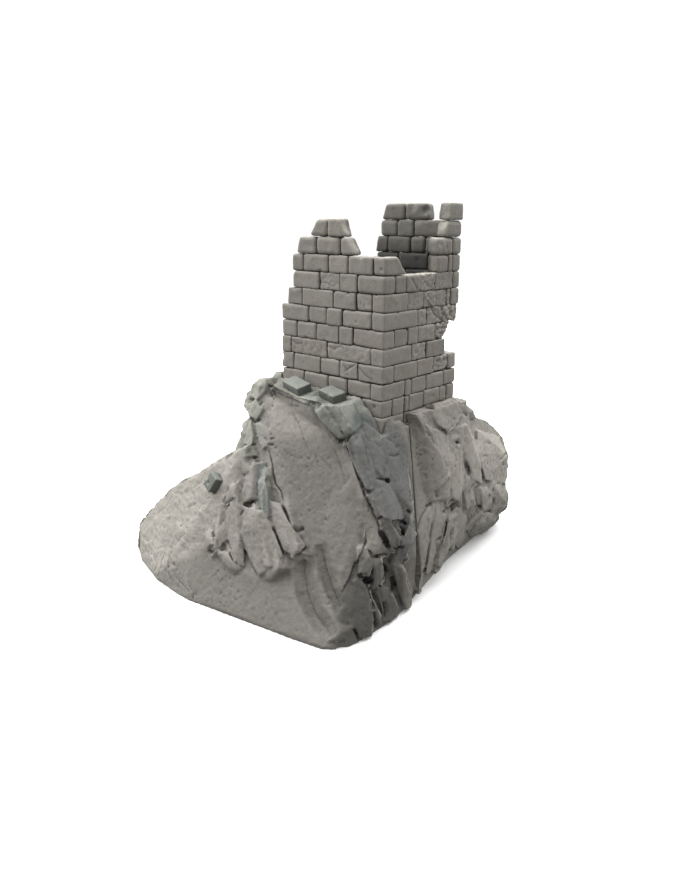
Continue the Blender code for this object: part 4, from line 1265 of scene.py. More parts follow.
    def corners(self, block: Laid, tight: bool) -> np.ndarray:
        """Eight corners of a block, by along, inward and up.

        Args:
            block: The block.
            tight: Whether it reaches up to the course above.

        Returns:
            The corners.
        """
        low = self.seat + (block.course - 1) * self.course + self.bed
        high = self.seat + block.course * self.course + (self.bed - self.bed_joint if tight else 0.0)
        half = self.joint / 2
        start = block.start + (half if block.start > 0.0 else -block.proud)
        end = block.end - (half if block.end < self.wall_length(block.wall) else -block.proud)
        made = np.zeros((2, 2, 2, 3))
        for i, j, k in product((0, 1), repeat=3):
            along = start + k * block.start_slope * self.course
            if i:
                along = end - k * block.end_slope * self.course
            inward = block.depth if j else -block.proud
            made[i, j, k] = self.place(block.wall, along, inward, high if k else low)
        return made

    def worn(self, blocks: list[Laid]) -> None:
        """Set the proudness and roughness of the blocks that the wear list names.

        Args:
            blocks: Blocks of one run.
        """
        for wear in WEAR:
            best, gap = None, self.wear_reach
            for block in blocks:
                if block.course != wear.course or block.wall not in self.shown_walls:
                    continue
                middle = self.place(block.wall, (block.start + block.end) / 2, 0.0,
                                    self.seat + (block.course - 0.5) * self.course)
                away = abs(CAMERA.project(np.array([middle]))[0, 0] - wear.across)
                if away < gap:
                    best, gap = block, away
            if best:
                best.proud, best.rough = wear.proud_mm * MM, wear.rough

    def build(self) -> None:
        """Build every course and stub."""
        material = self.finish.material()
        made = []
        for run in self.runs():
            blocks = self.laid(run)
            self.worn(blocks)
            made.append((run.node, *self.piece(run.node, blocks, run.course != self.split_courses)))
        for number, stub in enumerate(STUBS):
            length = self.wall_length(stub.wall)
            block = Laid(stub.wall, stub.course, stub.start * length, stub.end * length, self.wall,
                         stub.start_slope, stub.end_slope, 0.0, self.stub_rough)
            made.append((stub.node, *self.piece(stub.node, [block], True, 500 + number)))
        crevices = Crevices([arrays.mesh for _, arrays, _ in made], self.crevice_mm)
        for node, arrays, tones in made:
            # Painted shade in hollows and painted highlight on edges
            shade = arrays.edge_shade(4, self.edge_mm, self.hollow_shade, self.edge_highlight)
            # Painted shade in the joints, strongest at the outer faces
            shade *= 1.0 - self.joint_shade * crevices.share(arrays) * self.near_face(arrays)
            shade *= 1.0 - self.inner_shade * self.inner(arrays)
            # Painted light: up-facing faces paler, as lit from above
            shade *= 1.0 + self.painted_top_light * step_up(0.6, 0.95, arrays.normals[:, 2])
            arrays.paint(tones * shade[:, None])
            arrays.mesh.shade_smooth()
            dress(add_object(f"{node}_blocks", arrays.mesh), node, self.finish, material)

    def piece(self, node: str, blocks: list[Laid], tight: bool,
              seed: int = 0) -> tuple[MeshArrays, np.ndarray]:
        """Build one piece from its blocks.

        Args:
            node: The CAD node that it replaces.
            blocks: Its blocks.
            tight: Whether the blocks reach up to the course above.
            seed: Start of the seeds.

        Returns:
            Its mesh and the tone of each point.
        """
        points, faces, tones, total = [], [], [], 0
        for number, block in enumerate(blocks):
            key = seed + block.course * 131 + number * 7
            chance = random.Random(key)
            shown = block.wall in self.shown_walls or not tight
            form = BlockForm(self.corners(block, tight), key, self.fine_mm if shown else self.plain_mm,
                             chance.uniform(0.6, 0.95) * (self.stub_wear if seed else 1.0), block.rough,
                             chips=chance.choice((1, 2, 2, 3)))
            spots, quads = form.build()
            points.append(spots)
            faces += [[corner + total for corner in quad] for quad in quads]
            total += len(spots)
            shade = chance.uniform(0.93, 1.06) * (1.0 + self.rough_tone * block.rough)
            warm = chance.uniform(-0.012, 0.012)
            tone = np.array(self.tone) * shade * np.array((1.0 + warm, 1.0, 1.0 - warm))
            tones.append(np.tile(tone, (len(spots), 1)))
        mesh = mesh_of(f"{node}_blocks", np.concatenate(points), faces)
        arrays = MeshArrays(mesh)
        fresh = self.mark(node, arrays)
        return arrays, np.concatenate(tones) * (1.0 + self.chip_tone * fresh)[:, None]

    def inset(self, arrays: MeshArrays) -> np.ndarray:
        """How far each point lies in from the nearest outer face.

        Args:
            arrays: The mesh.

        Returns:
            One number per point.
        """
        half = np.array((self.length, self.depth)) / 2
        middle = np.array((self.left, self.front)) + half
        return (half - np.abs(arrays.points[:, :2] - middle)).min(axis=1)

    def near_face(self, arrays: MeshArrays) -> np.ndarray:
        """How strong the painted shade in the joints is, from 1 at the walls' outer faces to little further
        in.
        """
        return 1.0 - 0.75 * step_up(*self.joint_shade_reach, self.inset(arrays))

    def inner(self, arrays: MeshArrays) -> np.ndarray:
        """How far each point belongs to the walls' dim inner side, from 0 to 1 deep down.

        Args:
            arrays: The mesh.

        Returns:
            One number per point.
        """
        low, high = self.seat + 9.5 * self.course, self.seat + 11.5 * self.course
        deep = 1.0 - 0.5 * step_up(low, high, arrays.points[:, 2])
        return step_up(2.4 * MM, 0.6 * MM, self.wall - self.inset(arrays)) * deep

    def mark(self, node: str, arrays: MeshArrays) -> np.ndarray:
        """Cut the cracks and scoops of a piece, and tell how far a scoop bared each point, from 0 to 1.

        Args:
            node: The CAD node.
            arrays: The piece's mesh.

        Returns:
            One number per point.
        """
        away = np.array(CAMERA.place) - arrays.points
        facing = (away * arrays.normals).sum(axis=1) / np.linalg.norm(away, axis=1)
        seen = facing > 0.25
        pixels = CAMERA.project(arrays.points)
        depth = np.zeros(len(pixels))
        outer = seen & ((arrays.points[:, 1] < self.front + self.outer_skin)
                        | (arrays.points[:, 0] > self.left + self.length - self.outer_skin))
        for stroke in WALL_STROKES:
            depth[outer] += stroke.depths(pixels[outer])
        arrays.points = arrays.points - arrays.normals * depth[:, None]
        source, eye = frame["nodes"][node].data, Vector(CAMERA.place)
        fresh = np.zeros(len(pixels))
        for dent in DENTS:
            if dent.node != node:
                continue
            tree, ray = tree_of([source]), CAMERA.ray(dent.pixel)
            hit = tree.ray_cast(eye, ray)[0]
            if hit is None:
                hit = tree.find_nearest(eye + ray * (eye - source.vertices[0].co).length)[0]
            near = np.linalg.norm(arrays.points - np.array(hit), axis=1) / (dent.reach_mm * MM)
            share = np.clip(1.0 - near * near, 0.0, 1.0)
            arrays.points = arrays.points + np.array(ray) * (share * dent.depth_mm * MM)[:, None]
            fresh = np.maximum(fresh, np.where(seen, step_up(0.0, 0.5, share), 0.0))
        arrays.store()
        return fresh


# Rock

SLAB = zone_of(5, 266, 395, 300, 398, 318, 425, 345, 442, 350, 460, 366, 495, 372, 520, 360, 535,
               352, 560, 340, 590, 320, 585, 312, 545, 296, 530, 280, 495, 268, 455, 262, 430)
APRON_LEFT = zone_of(8, 138, 540, 140, 505, 190, 478, 235, 452, 232, 480, 222, 515, 205, 545, 180, 560,
                     150, 575)
APRON_FRONT = zone_of(6, 150, 575, 205, 548, 240, 572, 262, 578, 300, 560, 316, 548, 340, 600, 345, 655,
                      300, 655, 200, 605)
LEDGE = zone_of(5, 290, 370, 350, 372, 372, 415, 356, 438, 345, 440, 318, 420, 300, 400)
PROW = zone_of(6, 352, 412, 402, 424, 416, 500, 416, 545, 400, 560, 384, 520, 366, 495, 348, 450)
PROW_FOOT = zone_of(8, 352, 560, 400, 540, 415, 560, 408, 600, 395, 625, 345, 655, 335, 600)
KNUCKLES = zone_of(6, 378, 512, 410, 510, 418, 540, 412, 560, 386, 560, 376, 540)
RIGHT_PLATE = zone_of(6, 404, 405, 465, 400, 470, 420, 440, 440, 446, 500, 418, 535, 412, 500)
RIGHT_FACE = zone_of(10, 440, 440, 470, 420, 512, 430, 515, 490, 450, 500, 440, 480)
RIM = zone_of(5, 134, 520, 150, 545, 178, 568, 202, 600, 196, 612, 160, 602, 134, 575)
SLAB_TOP = zone_of(8, 270, 392, 300, 398, 320, 425, 318, 436, 272, 432)
SHELF = zone_of(3, 268, 376, 300, 372, 328, 390, 320, 404, 296, 393, 274, 389)
SLAB_LOW = zone_of(14, 272, 440, 345, 440, 366, 495, 372, 520, 352, 560, 340, 590, 320, 585, 296, 530)
LEFT_COLUMN = zone_of(5, 240, 370, 285, 368, 282, 385, 262, 400, 264, 440, 248, 462, 238, 470, 238, 420)
RIB_FACE = zone_of(2.5, 256, 464, 267, 462, 267, 480, 272, 500, 270, 516, 260, 510, 254, 497)

# Painted light and shade by zone, some with a slight colour cast: factors on the resin's colour, one number
# or red, green and blue
ZONE_LIGHT_AND_SHADE = (
    (LEDGE, (0.95, 1.04, 1.02)), (PROW, (0.55, 0.58, 0.62)), (LEFT_COLUMN, (0.97, 1.02, 1.0)),
    (RIB_FACE, (0.78, 0.86, 0.9)), (PROW_FOOT, 0.4), (RIGHT_FACE, 1.5), (APRON_FRONT, 0.66), (SLAB_LOW, 0.63),
    (SHELF, (0.66, 0.68, 0.66)), (RIGHT_PLATE, 1.08), (SLAB_TOP, 1.2), (APRON_LEFT, 1.22),
)

FLAKES = flakes_of((
    # Left rib cluster
    (6, 246, 468, 0.4, 254, 465, 2.6, 267, 461, 0.2, 258, 499, 0.2, 251, 498, 2.6, 243, 503, 0.8),
    (6, 265, 477, 0.8, 272, 498, 0.2, 270, 516, 0.6, 262, 509, 1.8, 260, 495, 1.8),
    (6, 270, 501, 0.8, 281, 504, 1.6, 293, 528, 1.8, 306, 546, 1.2,
     296, 556, 1.6, 283, 551, 1, 272, 520, 0.9),
    (6, 243, 506, 0.8, 262, 511, 1.2, 271, 522, 1.2, 283, 556, 1.6,
     259, 577, 2.2, 251, 562, 1.8, 240, 530, 0.9),
    (6, 226, 512, 0.6, 238, 497, 1.2, 243, 516, 0.9, 239, 545, 1.2,
     245, 567, 1.4, 236, 561, 1.4, 226, 535, 0.8),
    (6, 224, 505, 0.7, 230, 486, 1.4, 238, 482, 1.4, 243, 488, 0.8, 235, 498, 1, 228, 506, 1.2),
    (6, 217, 533, 0.4, 224, 522, 0.9, 226, 540, 1, 220, 548, 0.9),
    (4, 206, 532, 0.6, 213, 530, 1.1, 214, 544, 1.1, 207, 548, 0.6),
    (6, 218, 551, 0.6, 228, 552, 1.3, 233, 561, 1.2, 241, 570, 0.9, 232, 573, 1.1, 223, 563, 0.9),
    (6, 236, 500, 0.5, 243, 505, 1.4, 242, 520, 1.4, 236, 535, 0.6),
    # Left column
    (6, 251, 382, 0.8, 259, 375, 0.8, 268, 381, 1.4, 266, 394, 1.4, 257, 401, 1.2, 250, 396, 0.8),
    (6, 246, 404, 0.8, 258, 401, 1.3, 265, 409, 1.4, 258, 420, 1.3, 250, 416, 0.9),
    (6, 243, 425, 0.5, 252, 421, 1.2, 255, 436, 1.2, 253, 445, 1.1, 244, 444, 0.6),
    (6, 243, 449, 0.6, 255, 447, 1.2, 258, 456, 1.3, 246, 457, 0.9),
    (6, 242, 460, 0.4, 257, 459, 1.2, 251, 470, 1, 243, 474, 0.6),
    (6, 256, 420, 0.8, 268, 428, 1, 273, 444, 1, 264, 449, 1.3, 258, 436, 1),
    # Slab's shoulder
    (6, 328, 500, 0, 352, 480, 0.2, 367, 508, 0.3, 355, 545, 0.3, 341, 576, 0.3, 318, 556, 0),
    # Ledge tongue, three ribs side by side
    (6, 309, 399, 0.8, 325, 406, 1.2, 345, 437, 2, 339, 441, 2.2, 328, 431, 2, 316, 413, 1.4),
    (6, 325, 405, 0.9, 336, 407, 1.6, 353, 431, 1.7, 349, 439, 1.4, 344, 437, 1),
    (6, 337, 406, 0.5, 352, 404, 0.8, 362, 424, 0.8, 355, 433, 1.2),
    (3, 303, 392, 0.3, 318, 389, 0.5, 322, 399, 0.7, 309, 401, 0.7),
    # Prow
    (6, 350, 428, 0.1, 362, 429, 0.6, 373, 470, 1.3, 377, 479, 1.2,
     371, 492, 1.6, 364, 490, 1.4, 356, 466, 0.6),
    (6, 361, 420, 0.1, 372, 426, 0.1, 384, 437, 0.3, 394, 458, 0.5,
     395, 482, 0.5, 380, 476, 1, 366, 446, 0.7),
    (6, 384, 437, 0.4, 403, 421, 0.2, 406, 457, 0.3, 411, 508, 0.3,
     404, 518, 0.7, 390, 484, 0.7, 386, 456, 0.6),
    (6, 370, 494, 0.8, 378, 478, 0.8, 391, 485, 0.7, 399, 503, 0.9,
     404, 518, 1.1, 394, 520, 1.3, 381, 517, 1.4),
    (6, 381, 519, 0.8, 391, 520, 1.6, 402, 534, 2.2, 398, 541, 2,
     391, 553, 1.6, 388, 543, 1, 384, 531, 0.6),
    (6, 404, 533, 1.2, 409, 521, 1.2, 415, 533, 1.6, 411, 543, 2,
     402, 558, 2, 392, 557, 1.4, 396, 551, 1.2, 401, 543, 1.2),
    (6, 371, 506, 0.4, 380, 523, 1.6, 388, 550, 1.9, 387, 556, 2,
     373, 557, 2, 362, 537, 1.2, 365, 520, 0.6),
    (6, 363, 555, -0.4, 368, 554, 0.6, 373, 561, 1.6, 368, 573, 1.6, 359, 573, 1.4, 357, 565, 0.3),
    (6, 375, 559, 0.6, 382, 565, 1.2, 384, 580, 1.4, 377, 591, 1.2, 371, 578, 0.5),
    (6, 389, 556, 0.6, 398, 550, 1.2, 408, 556, 1, 404, 562, 1, 391, 566, 0.9),
    (6, 386, 566, 0.2, 393, 562, 1.3, 402, 567, 1.5, 410, 591, 1.5,
     404, 605, 1.4, 399, 590, 0.8, 392, 575, 0.6),
    (6, 376, 593, 0.8, 385, 586, 1.2, 394, 598, 1, 397, 616, 1.2, 384, 622, 1.2, 379, 606, 0.8),
    (6, 349, 562, 0.2, 363, 578, 1.6, 372, 599, 1.8, 374, 612, 1.5,
     372, 636, 1.2, 357, 638, 1, 346, 606, 0.3),
    (4, 344, 630, -0.2, 351, 625, 0.8, 358, 645, 1.2, 346, 648, 0.6),
    # Right side
    (6, 416, 424, 0, 428, 437, 1.3, 440, 454, 1.5, 447, 478, 1.2,
     437, 488, 0.6, 428, 500, 0.3, 422, 480, 0, 419, 450, 0),
    (6, 426, 425, 0.8, 440, 431, 1, 453, 444, 1.2, 458, 466, 1.2,
     456, 498, 1, 446, 507, 0.8, 447, 480, 0.9, 440, 455, 1),
    (6, 430, 410, 0.4, 456, 402, 1, 461, 414, 1.3, 450, 429, 1.8, 445, 432, 1.7, 436, 424, 1),
    (6, 418, 522, 0.3, 427, 507, 1.1, 432, 512, 1.4, 424, 552, 1.6,
     418, 585, 1.4, 414, 590, 0.6, 416, 555, 0.5),
    (6, 429, 507, 0.5, 442, 500, 1, 445, 514, 1.3, 437, 545, 1.4,
     428, 574, 1.2, 424, 572, 0.4, 431, 540, 0.5),
    (6, 446, 517, 0.4, 455, 506, 1.2, 457, 524, 1.3, 447, 551, 1.3, 437, 568, 1, 434, 562, 0.4),
    (6, 458, 510, 0.4, 465, 515, 1.2, 466, 533, 1.3, 457, 548, 1.1, 452, 543, 0.5),
    (6, 469, 520, 0.8, 480, 511, 1.5, 492, 513, 1.5, 494, 521, 1.2,
     484, 532, 1.2, 470, 536, 1, 466, 529, 0.8),
    (6, 462, 505, 0.3, 472, 498, 1, 475, 508, 1.2, 467, 518, 0.9),
    (6, 474, 488, 0.5, 481, 487, 1.4, 492, 500, 1.4, 490, 509, 1.2, 477, 510, 0.9),
    (6, 453, 428, 0.4, 466, 424, 1.2, 474, 440, 1.2, 478, 462, 1,
     481, 484, 1.3, 473, 479, 0.5, 464, 450, 0.8),
    (6, 476, 430, 1.5, 497, 436, 1.9, 508, 454, 2.2, 512, 479, 2.2,
     500, 483, 2.8, 482, 479, 2.8, 475, 452, 2.2),
    (6, 493, 486, 0.6, 502, 483, 1.2, 508, 492, 1.2, 503, 502, 1.2, 494, 503, 0.8),
    (6, 484, 484, 0.4, 500, 483, 1.2, 496, 500, 0.8, 490, 494, 0.5),
    (6, 448, 440, 0.3, 460, 446, 1.3, 463, 470, 1.3, 458, 502, 1.2, 452, 498, 0.8, 450, 470, 0.6),
    (6, 430, 482, 0.4, 446, 480, 1, 449, 497, 1, 440, 503, 0.8, 430, 500, 0.5),
))

STROKES = strokes_of((
    # Slab edges and cracks
    (CRACK, 1.7, 3.2, 282, 504, 287, 515, 293, 526), (CRACK, 3.6, 2.4, 292, 526, 299, 530, 304, 528),
    (CRACK, 1.4, 2, 268, 450, 272, 465, 275, 484, 281, 492, 283, 502),
    (CRACK, 1.5, 1.6, 273, 526, 279, 542, 285, 556), (CRACK, 1.8, 1.4, 292, 556, 298, 556, 307, 547),
    (CRACK, 2.2, 2.2, 309, 401, 313, 411, 319, 422, 330, 434, 338, 441, 346, 441, 350, 436, 356, 433),
    (STEP, 9, 1.4, 345, 442, 348, 452, 356, 470, 364, 489, 371, 506, 379, 523, 387, 548),
    (CRACK, 1.4, 0.8, 345, 443, 349, 455, 357, 472, 365, 491, 372, 507, 380, 523),
    (STEP, 8, 0.9, 340, 594, 349, 578, 353, 566, 361, 553, 364, 542, 366, 528),
    (CRACK, 2.2, 0.7, 306, 458, 311, 459), (CRACK, 1.5, 0.5, 315, 454, 317, 464, 321, 468),
    (CRACK, 1.5, 0.5, 321, 457, 327, 464, 333, 471), (CRACK, 1.6, 0.7, 291, 399, 292, 406, 299, 408),
    (STEP, 8, 0.4, 292, 410, 300, 425, 306, 443, 312, 458), (STEP, 6, 0.35, 334, 447, 340, 463, 346, 480),
    (STEP, 14, 2.2, 268, 383, 282, 390, 298, 397, 322, 404),
    # Folds of the front apron
    (FOLD, 22, 2.6, 324, 644, 314, 632, 304, 618, 295, 596, 292, 572, 296, 552),
    (FOLD, 16, 2, 334, 612, 325, 592, 318, 570, 312, 546),
    # Prow
    (CRACK, 2, 1.4, 363, 489, 368, 492, 373, 490), (CRACK, 2, 1.4, 376, 478, 382, 479, 389, 481),
    (CRACK, 2, 1.2, 378, 519, 383, 517), (CRACK, 2.4, 1.2, 389, 455, 395, 456, 400, 454),
    (CRACK, 2.4, 2, 393, 521, 399, 528, 403, 536), (CRACK, 2.4, 1.6, 400, 522, 406, 524),
    (CRACK, 2.4, 2.4, 382, 530, 386, 540, 389, 549), (CRACK, 2.4, 1.5, 407, 510, 411, 514, 414, 519),
    (CRACK, 3, 2.6, 358, 574, 365, 580, 370, 588, 373, 599, 374, 610),
    (CRACK, 4.5, 2.6, 366, 577, 371, 584), (CRACK, 2, 2, 384, 563, 386, 572, 385, 582, 380, 588),
    (CRACK, 2, 1.4, 372, 557, 380, 556, 388, 555), (CRACK, 2.2, 1.8, 391, 552, 397, 548, 405, 548),
    (CRACK, 3.4, 2, 403, 562, 407, 563), (CRACK, 2.4, 1.6, 391, 576, 394, 585, 393, 592),
    (CRACK, 2.2, 1.4, 354, 628, 357, 635, 359, 641), (CRACK, 3, 2, 385, 601, 387, 612, 384, 620),
    (CRACK, 2.4, 2.2, 374, 612, 376, 622, 377, 632),
    # Right side
    (CRACK, 4.5, 1.8, 437, 490, 439, 499), (CRACK, 2.6, 2, 426, 507, 433, 503),
    (CRACK, 2.6, 2.4, 443, 514, 449, 507, 454, 499), (CRACK, 2.4, 2.4, 427, 508, 421, 520, 417, 533),
    (CRACK, 1.8, 1.6, 433, 520, 431, 540, 425, 572),
    (CRACK, 2, 1.8, 446, 522, 444, 535, 437, 541, 436, 552), (CRACK, 2.6, 1.6, 424, 574, 426, 568),
    (CRACK, 2.6, 1.6, 436, 571, 440, 567), (CRACK, 1.8, 1.4, 451, 530, 452, 545, 449, 556),
    (CRACK, 3.2, 2.2, 475, 506, 481, 507), (CRACK, 2.6, 1.8, 467, 531, 471, 536),
    (CRACK, 1.8, 1, 454, 425, 447, 433, 441, 428), (CRACK, 2.4, 1.2, 463, 412, 468, 416),
    (CRACK, 3, 1.6, 466, 462, 469, 472, 469, 477), (CRACK, 1.6, 0.7, 483, 456, 488, 456),
    (CRACK, 1.6, 0.7, 487, 442, 491, 444), (CRACK, 2, 1.2, 502, 461, 504, 466),
    (CRACK, 2, 1.4, 504, 483, 502, 495), (CRACK, 1.8, 1.2, 500, 461, 508, 452),
    # Left ribs and column
    (CRACK, 1.7, 1.5, 266, 478, 268, 486), (CRACK, 2, 1.6, 250, 505, 254, 501),
    (CRACK, 1.8, 1.8, 226, 540, 229, 547, 232, 551), (CRACK, 3.2, 2, 208, 550, 211, 552, 216, 549),
    (CRACK, 2.6, 1.4, 212, 532, 214, 537), (CRACK, 2, 1.4, 225, 505, 230, 501, 234, 498),
    (CRACK, 1.5, 1, 240, 516, 243, 510), (CRACK, 1.6, 1, 250, 562, 259, 577),
    (CRACK, 1.8, 1.2, 249, 399, 255, 400), (CRACK, 1.8, 1, 259, 406, 263, 401),
    (CRACK, 2, 1.4, 250, 418, 255, 422, 261, 419), (CRACK, 1.8, 1.4, 250, 445, 256, 444),
    (CRACK, 2, 1.4, 267, 445, 274, 445), (CRACK, 1.6, 1, 270, 439, 275, 438),
    (CRACK, 1.6, 0.9, 264, 437, 267, 441), (CRACK, 2.4, 1.4, 306, 402, 308, 405),
    (CRACK, 2, 1, 316, 392, 318, 394),
    # Left apron
    (CRACK, 2.2, 0.8, 187, 509, 191, 506, 195, 503), (CRACK, 2.2, 0.9, 173, 563, 176, 567),
    (CRACK, 1.8, 0.9, 168, 571, 171, 580), (CRACK, 1.3, 0.6, 175, 577, 183, 585, 191, 594),
    (STEP, 8, 0.6, 186, 533, 176, 543, 170, 556, 173, 566), (CRACK, 1.6, 0.6, 206, 499, 210, 497),
    (STEP, 9, 0.25, 222, 468, 200, 484, 180, 497, 160, 512, 146, 530),
    (STEP, 8, 0.2, 214, 476, 196, 492, 176, 508, 158, 526, 146, 545),
))


@dataclass(frozen=True)
class PitPatch:
    """A patch of casting pits, by pixels: its middle, its half sizes and how many."""
    middle: Pixel
    half: Pixel
    count: int


PITS = tuple(PitPatch(*row) for row in (
    ((284, 455), (14, 12), 12), ((305, 462), (14, 10), 8), ((323, 500), (7, 22), 16),
    ((332, 513), (6, 9), 8), ((345, 498), (12, 10), 5), ((228, 592), (14, 16), 30),
    ((225, 575), (14, 6), 12), ((336, 602), (12, 9), 20), ((255, 530), (9, 10), 10),
    ((420, 462), (9, 18), 26), ((448, 470), (6, 14), 18), ((395, 440), (8, 8), 12),
    ((180, 525), (30, 22), 16), ((300, 500), (25, 25), 10), ((490, 462), (12, 12), 8),
))


@dataclass
class RockCasting:
    """The two rock castings: masses from the CAD, flakes laid on, then cracks, pits and a broken skin."""
    voxel: float = 0.47 * MM
    sharp_angle: float = 38.0
    seam: float = -18.2 * MM
    seam_gap: float = 0.4 * MM
    seat: float = 70.0 * MM
    floor: float = 89.2 * MM
    tower_low: tuple[float, float] = (-1.9 * MM, -32.9 * MM)
    tower_high: tuple[float, float] = (51.9 * MM, 16.9 * MM)
    tone: Triple = (0.26, 0.2455, 0.219)
    finish: ResinFinish = ResinFinish("rock_resin_cast", "rock_resin", 9.0, 0.9, 1.3, 0.3, 0.78, 0.8)
    back_pits: int = 160
    crack_share: float = 0.5
    deep_share: float = 1.2
    seen_rough: float = 0.15
    rim_rough: float = 0.6
    unseen_rough: float = 0.3
    layer_lean: float = 24.0
    layer_bend: float = 1.6
    plate_mm: Triple = (5.0, 7.0, 13.0)
    plate_lift: float = 0.9
    plate_crack: float = 0.3
    shard_mm: Triple = (2.2, 2.6, 4.4)
    shard_lift: float = 0.2
    shard_crack: float = 0.06
    crest_mm: Triple = (7.0, 9.0, 30.0)
    crest_lift: float = 0.6
    small_crest_mm: Triple = (2.6, 3.6, 12.0)
    small_crest_lift: float = 0.3
    swell_mm: float = 9.0
    swell_lift: float = 0.22
    grain_mm: float = 1.6
    grain_lift: float = 0.13
    streak_lean: float = -62.0
    streak_mm: Triple = (2.6, 26.0, 2.6)
    streak_lift: float = 0.2
    # Painted shade in hollows, broad hollows and crevices, deeper at the prow's foot, and painted highlight
    # on edges
    hollow_mm: float = 0.25
    hollow_shade: float = 0.58
    broad_shade: float = 0.12
    edge_highlight: float = 0.14
    crevice_shade: float = 0.75
    foot_shade: float = 0.2
    # Painted shade along the seam between the castings
    seam_band: tuple[float, float] = (0.65 * MM, 0.25 * MM)
    crevice_mm: float = 3.2
    clear_mm: float = 3.2
    bedded_mm: float = 0.3
    ease_rounds: int = 12
    head: float = 76.6 * MM
    head_reach: float = 12.0 * MM
    most_faces: int = 194000

    def __post_init__(self) -> None:
        """Read the masses."""
        self.tree = tree_of(frame["nodes"][node].data for node in ("rock_front", "rock_rear"))

    def hit(self, pixel: Pixel) -> tuple[Vector, Vector]:
        """Place and normal of the rock behind a pixel, or of the rock nearest to its ray.

        Args:
            pixel: The pixel.

        Returns:
            The place and the normal.
        """
        eye, ray = Vector(CAMERA.place), CAMERA.ray(pixel)
        spot, normal, _, _ = self.tree.ray_cast(eye, ray)
        if spot is None:
            tries = [self.tree.find_nearest(eye + ray * reach) for reach in np.linspace(0.22, 0.42, 41)]
            spot, normal, _, _ = min(tries, key=lambda found: found[3])
        return spot, normal

    def flake_mesh(self, flake: Flake) -> tuple[bpy.types.Mesh, bool]:
        """Solid of a flake, and whether it belongs to the front casting.

        Args:
            flake: The flake.

        Returns:
            The solid, and true for the front casting.
        """
        hits = [self.hit((x, y)) for x, y, _ in flake.outline]
        out = sum((normal for _, normal in hits), Vector()).normalized()
        toward = (Vector(CAMERA.place) - hits[0][0]).normalized()
        out = (out + 0.35 * toward).normalized()
        bm = bmesh.new()
        for (spot, _), (_, _, lift) in zip(hits, flake.outline):
            bm.verts.new(spot + out * lift * MM)
            bm.verts.new(spot - out * flake.sink_mm * MM)
        bmesh.ops.convex_hull(bm, input=bm.verts)
        bmesh.ops.recalc_face_normals(bm, faces=bm.faces)
        middle = sum((spot for spot, _ in hits), Vector()) / len(hits)
        return mesh_from(bm, "flake"), middle.y < self.seam

    def remeshed(self, node: str, slabs: list[bpy.types.Mesh]) -> bpy.types.Mesh:
        """Join the CAD mass with its flakes in one even skin.

        Args:
            node: The CAD node.
            slabs: Solids of its flakes.

        Returns:
            The skin.
        """
        bm = bmesh.new()
        bm.from_mesh(frame["nodes"][node].data)
        for slab in slabs:
            bm.from_mesh(slab)
        settings = {"mode": "VOXEL", "voxel_size": self.voxel, "adaptivity": 0.0}
        return evaluated(mesh_from(bm, f"{node}_masses"), "REMESH", settings)

    def thinned(self, mesh: bpy.types.Mesh) -> bpy.types.Mesh:
        """Thin out the plainer parts of a finished skin, to a triangle count that every reader takes."""
        mesh.calc_loop_triangles()
        return evaluated(mesh, "DECIMATE", {"ratio": min(1.0, self.most_faces / len(mesh.loop_triangles))})

    def seen(self, arrays: MeshArrays) -> np.ndarray:
        """Which points the camera sees, but for the tower.

        Args:
            arrays: The casting's mesh.

        Returns:
            True or false per point.
        """
        eye = np.array(CAMERA.place)
        away = arrays.points - eye
        distance = np.linalg.norm(away, axis=1)
        facing = -(away * arrays.normals).sum(axis=1) / distance
        shown = facing > 0.06
        start = Vector(eye)
        for index in np.nonzero(shown)[0]:
            found = self.tree.ray_cast(start, Vector(away[index] / distance[index]))[3]
            if found is not None and found < distance[index] - 4.0 * MM:
                shown[index] = False
        return shown

    def held(self, points: np.ndarray, front: bool) -> np.ndarray:
        """How free each point is to move: 0 on the underside, on the seam and in the tower's socket.

        Args:
            points: Places, one per row.
            front: Whether it is the front casting.

        Returns:
            One number per point.
        """
        plane = self.seam - self.seam_gap / 2 if front else self.seam + self.seam_gap / 2
        free = step_up(0.2 * MM, 1.6 * MM, points[:, 2])
        free *= step_up(0.1 * MM, 1.0 * MM, np.abs(points[:, 1] - plane))
        inside = ((points[:, 0] > self.tower_low[0]) & (points[:, 0] < self.tower_high[0])
                  & (points[:, 1] > self.tower_low[1]) & (points[:, 1] < self.tower_high[1])
                  & (points[:, 2] > self.seat - 0.6 * MM))
        return np.where(inside, 0.12, free)

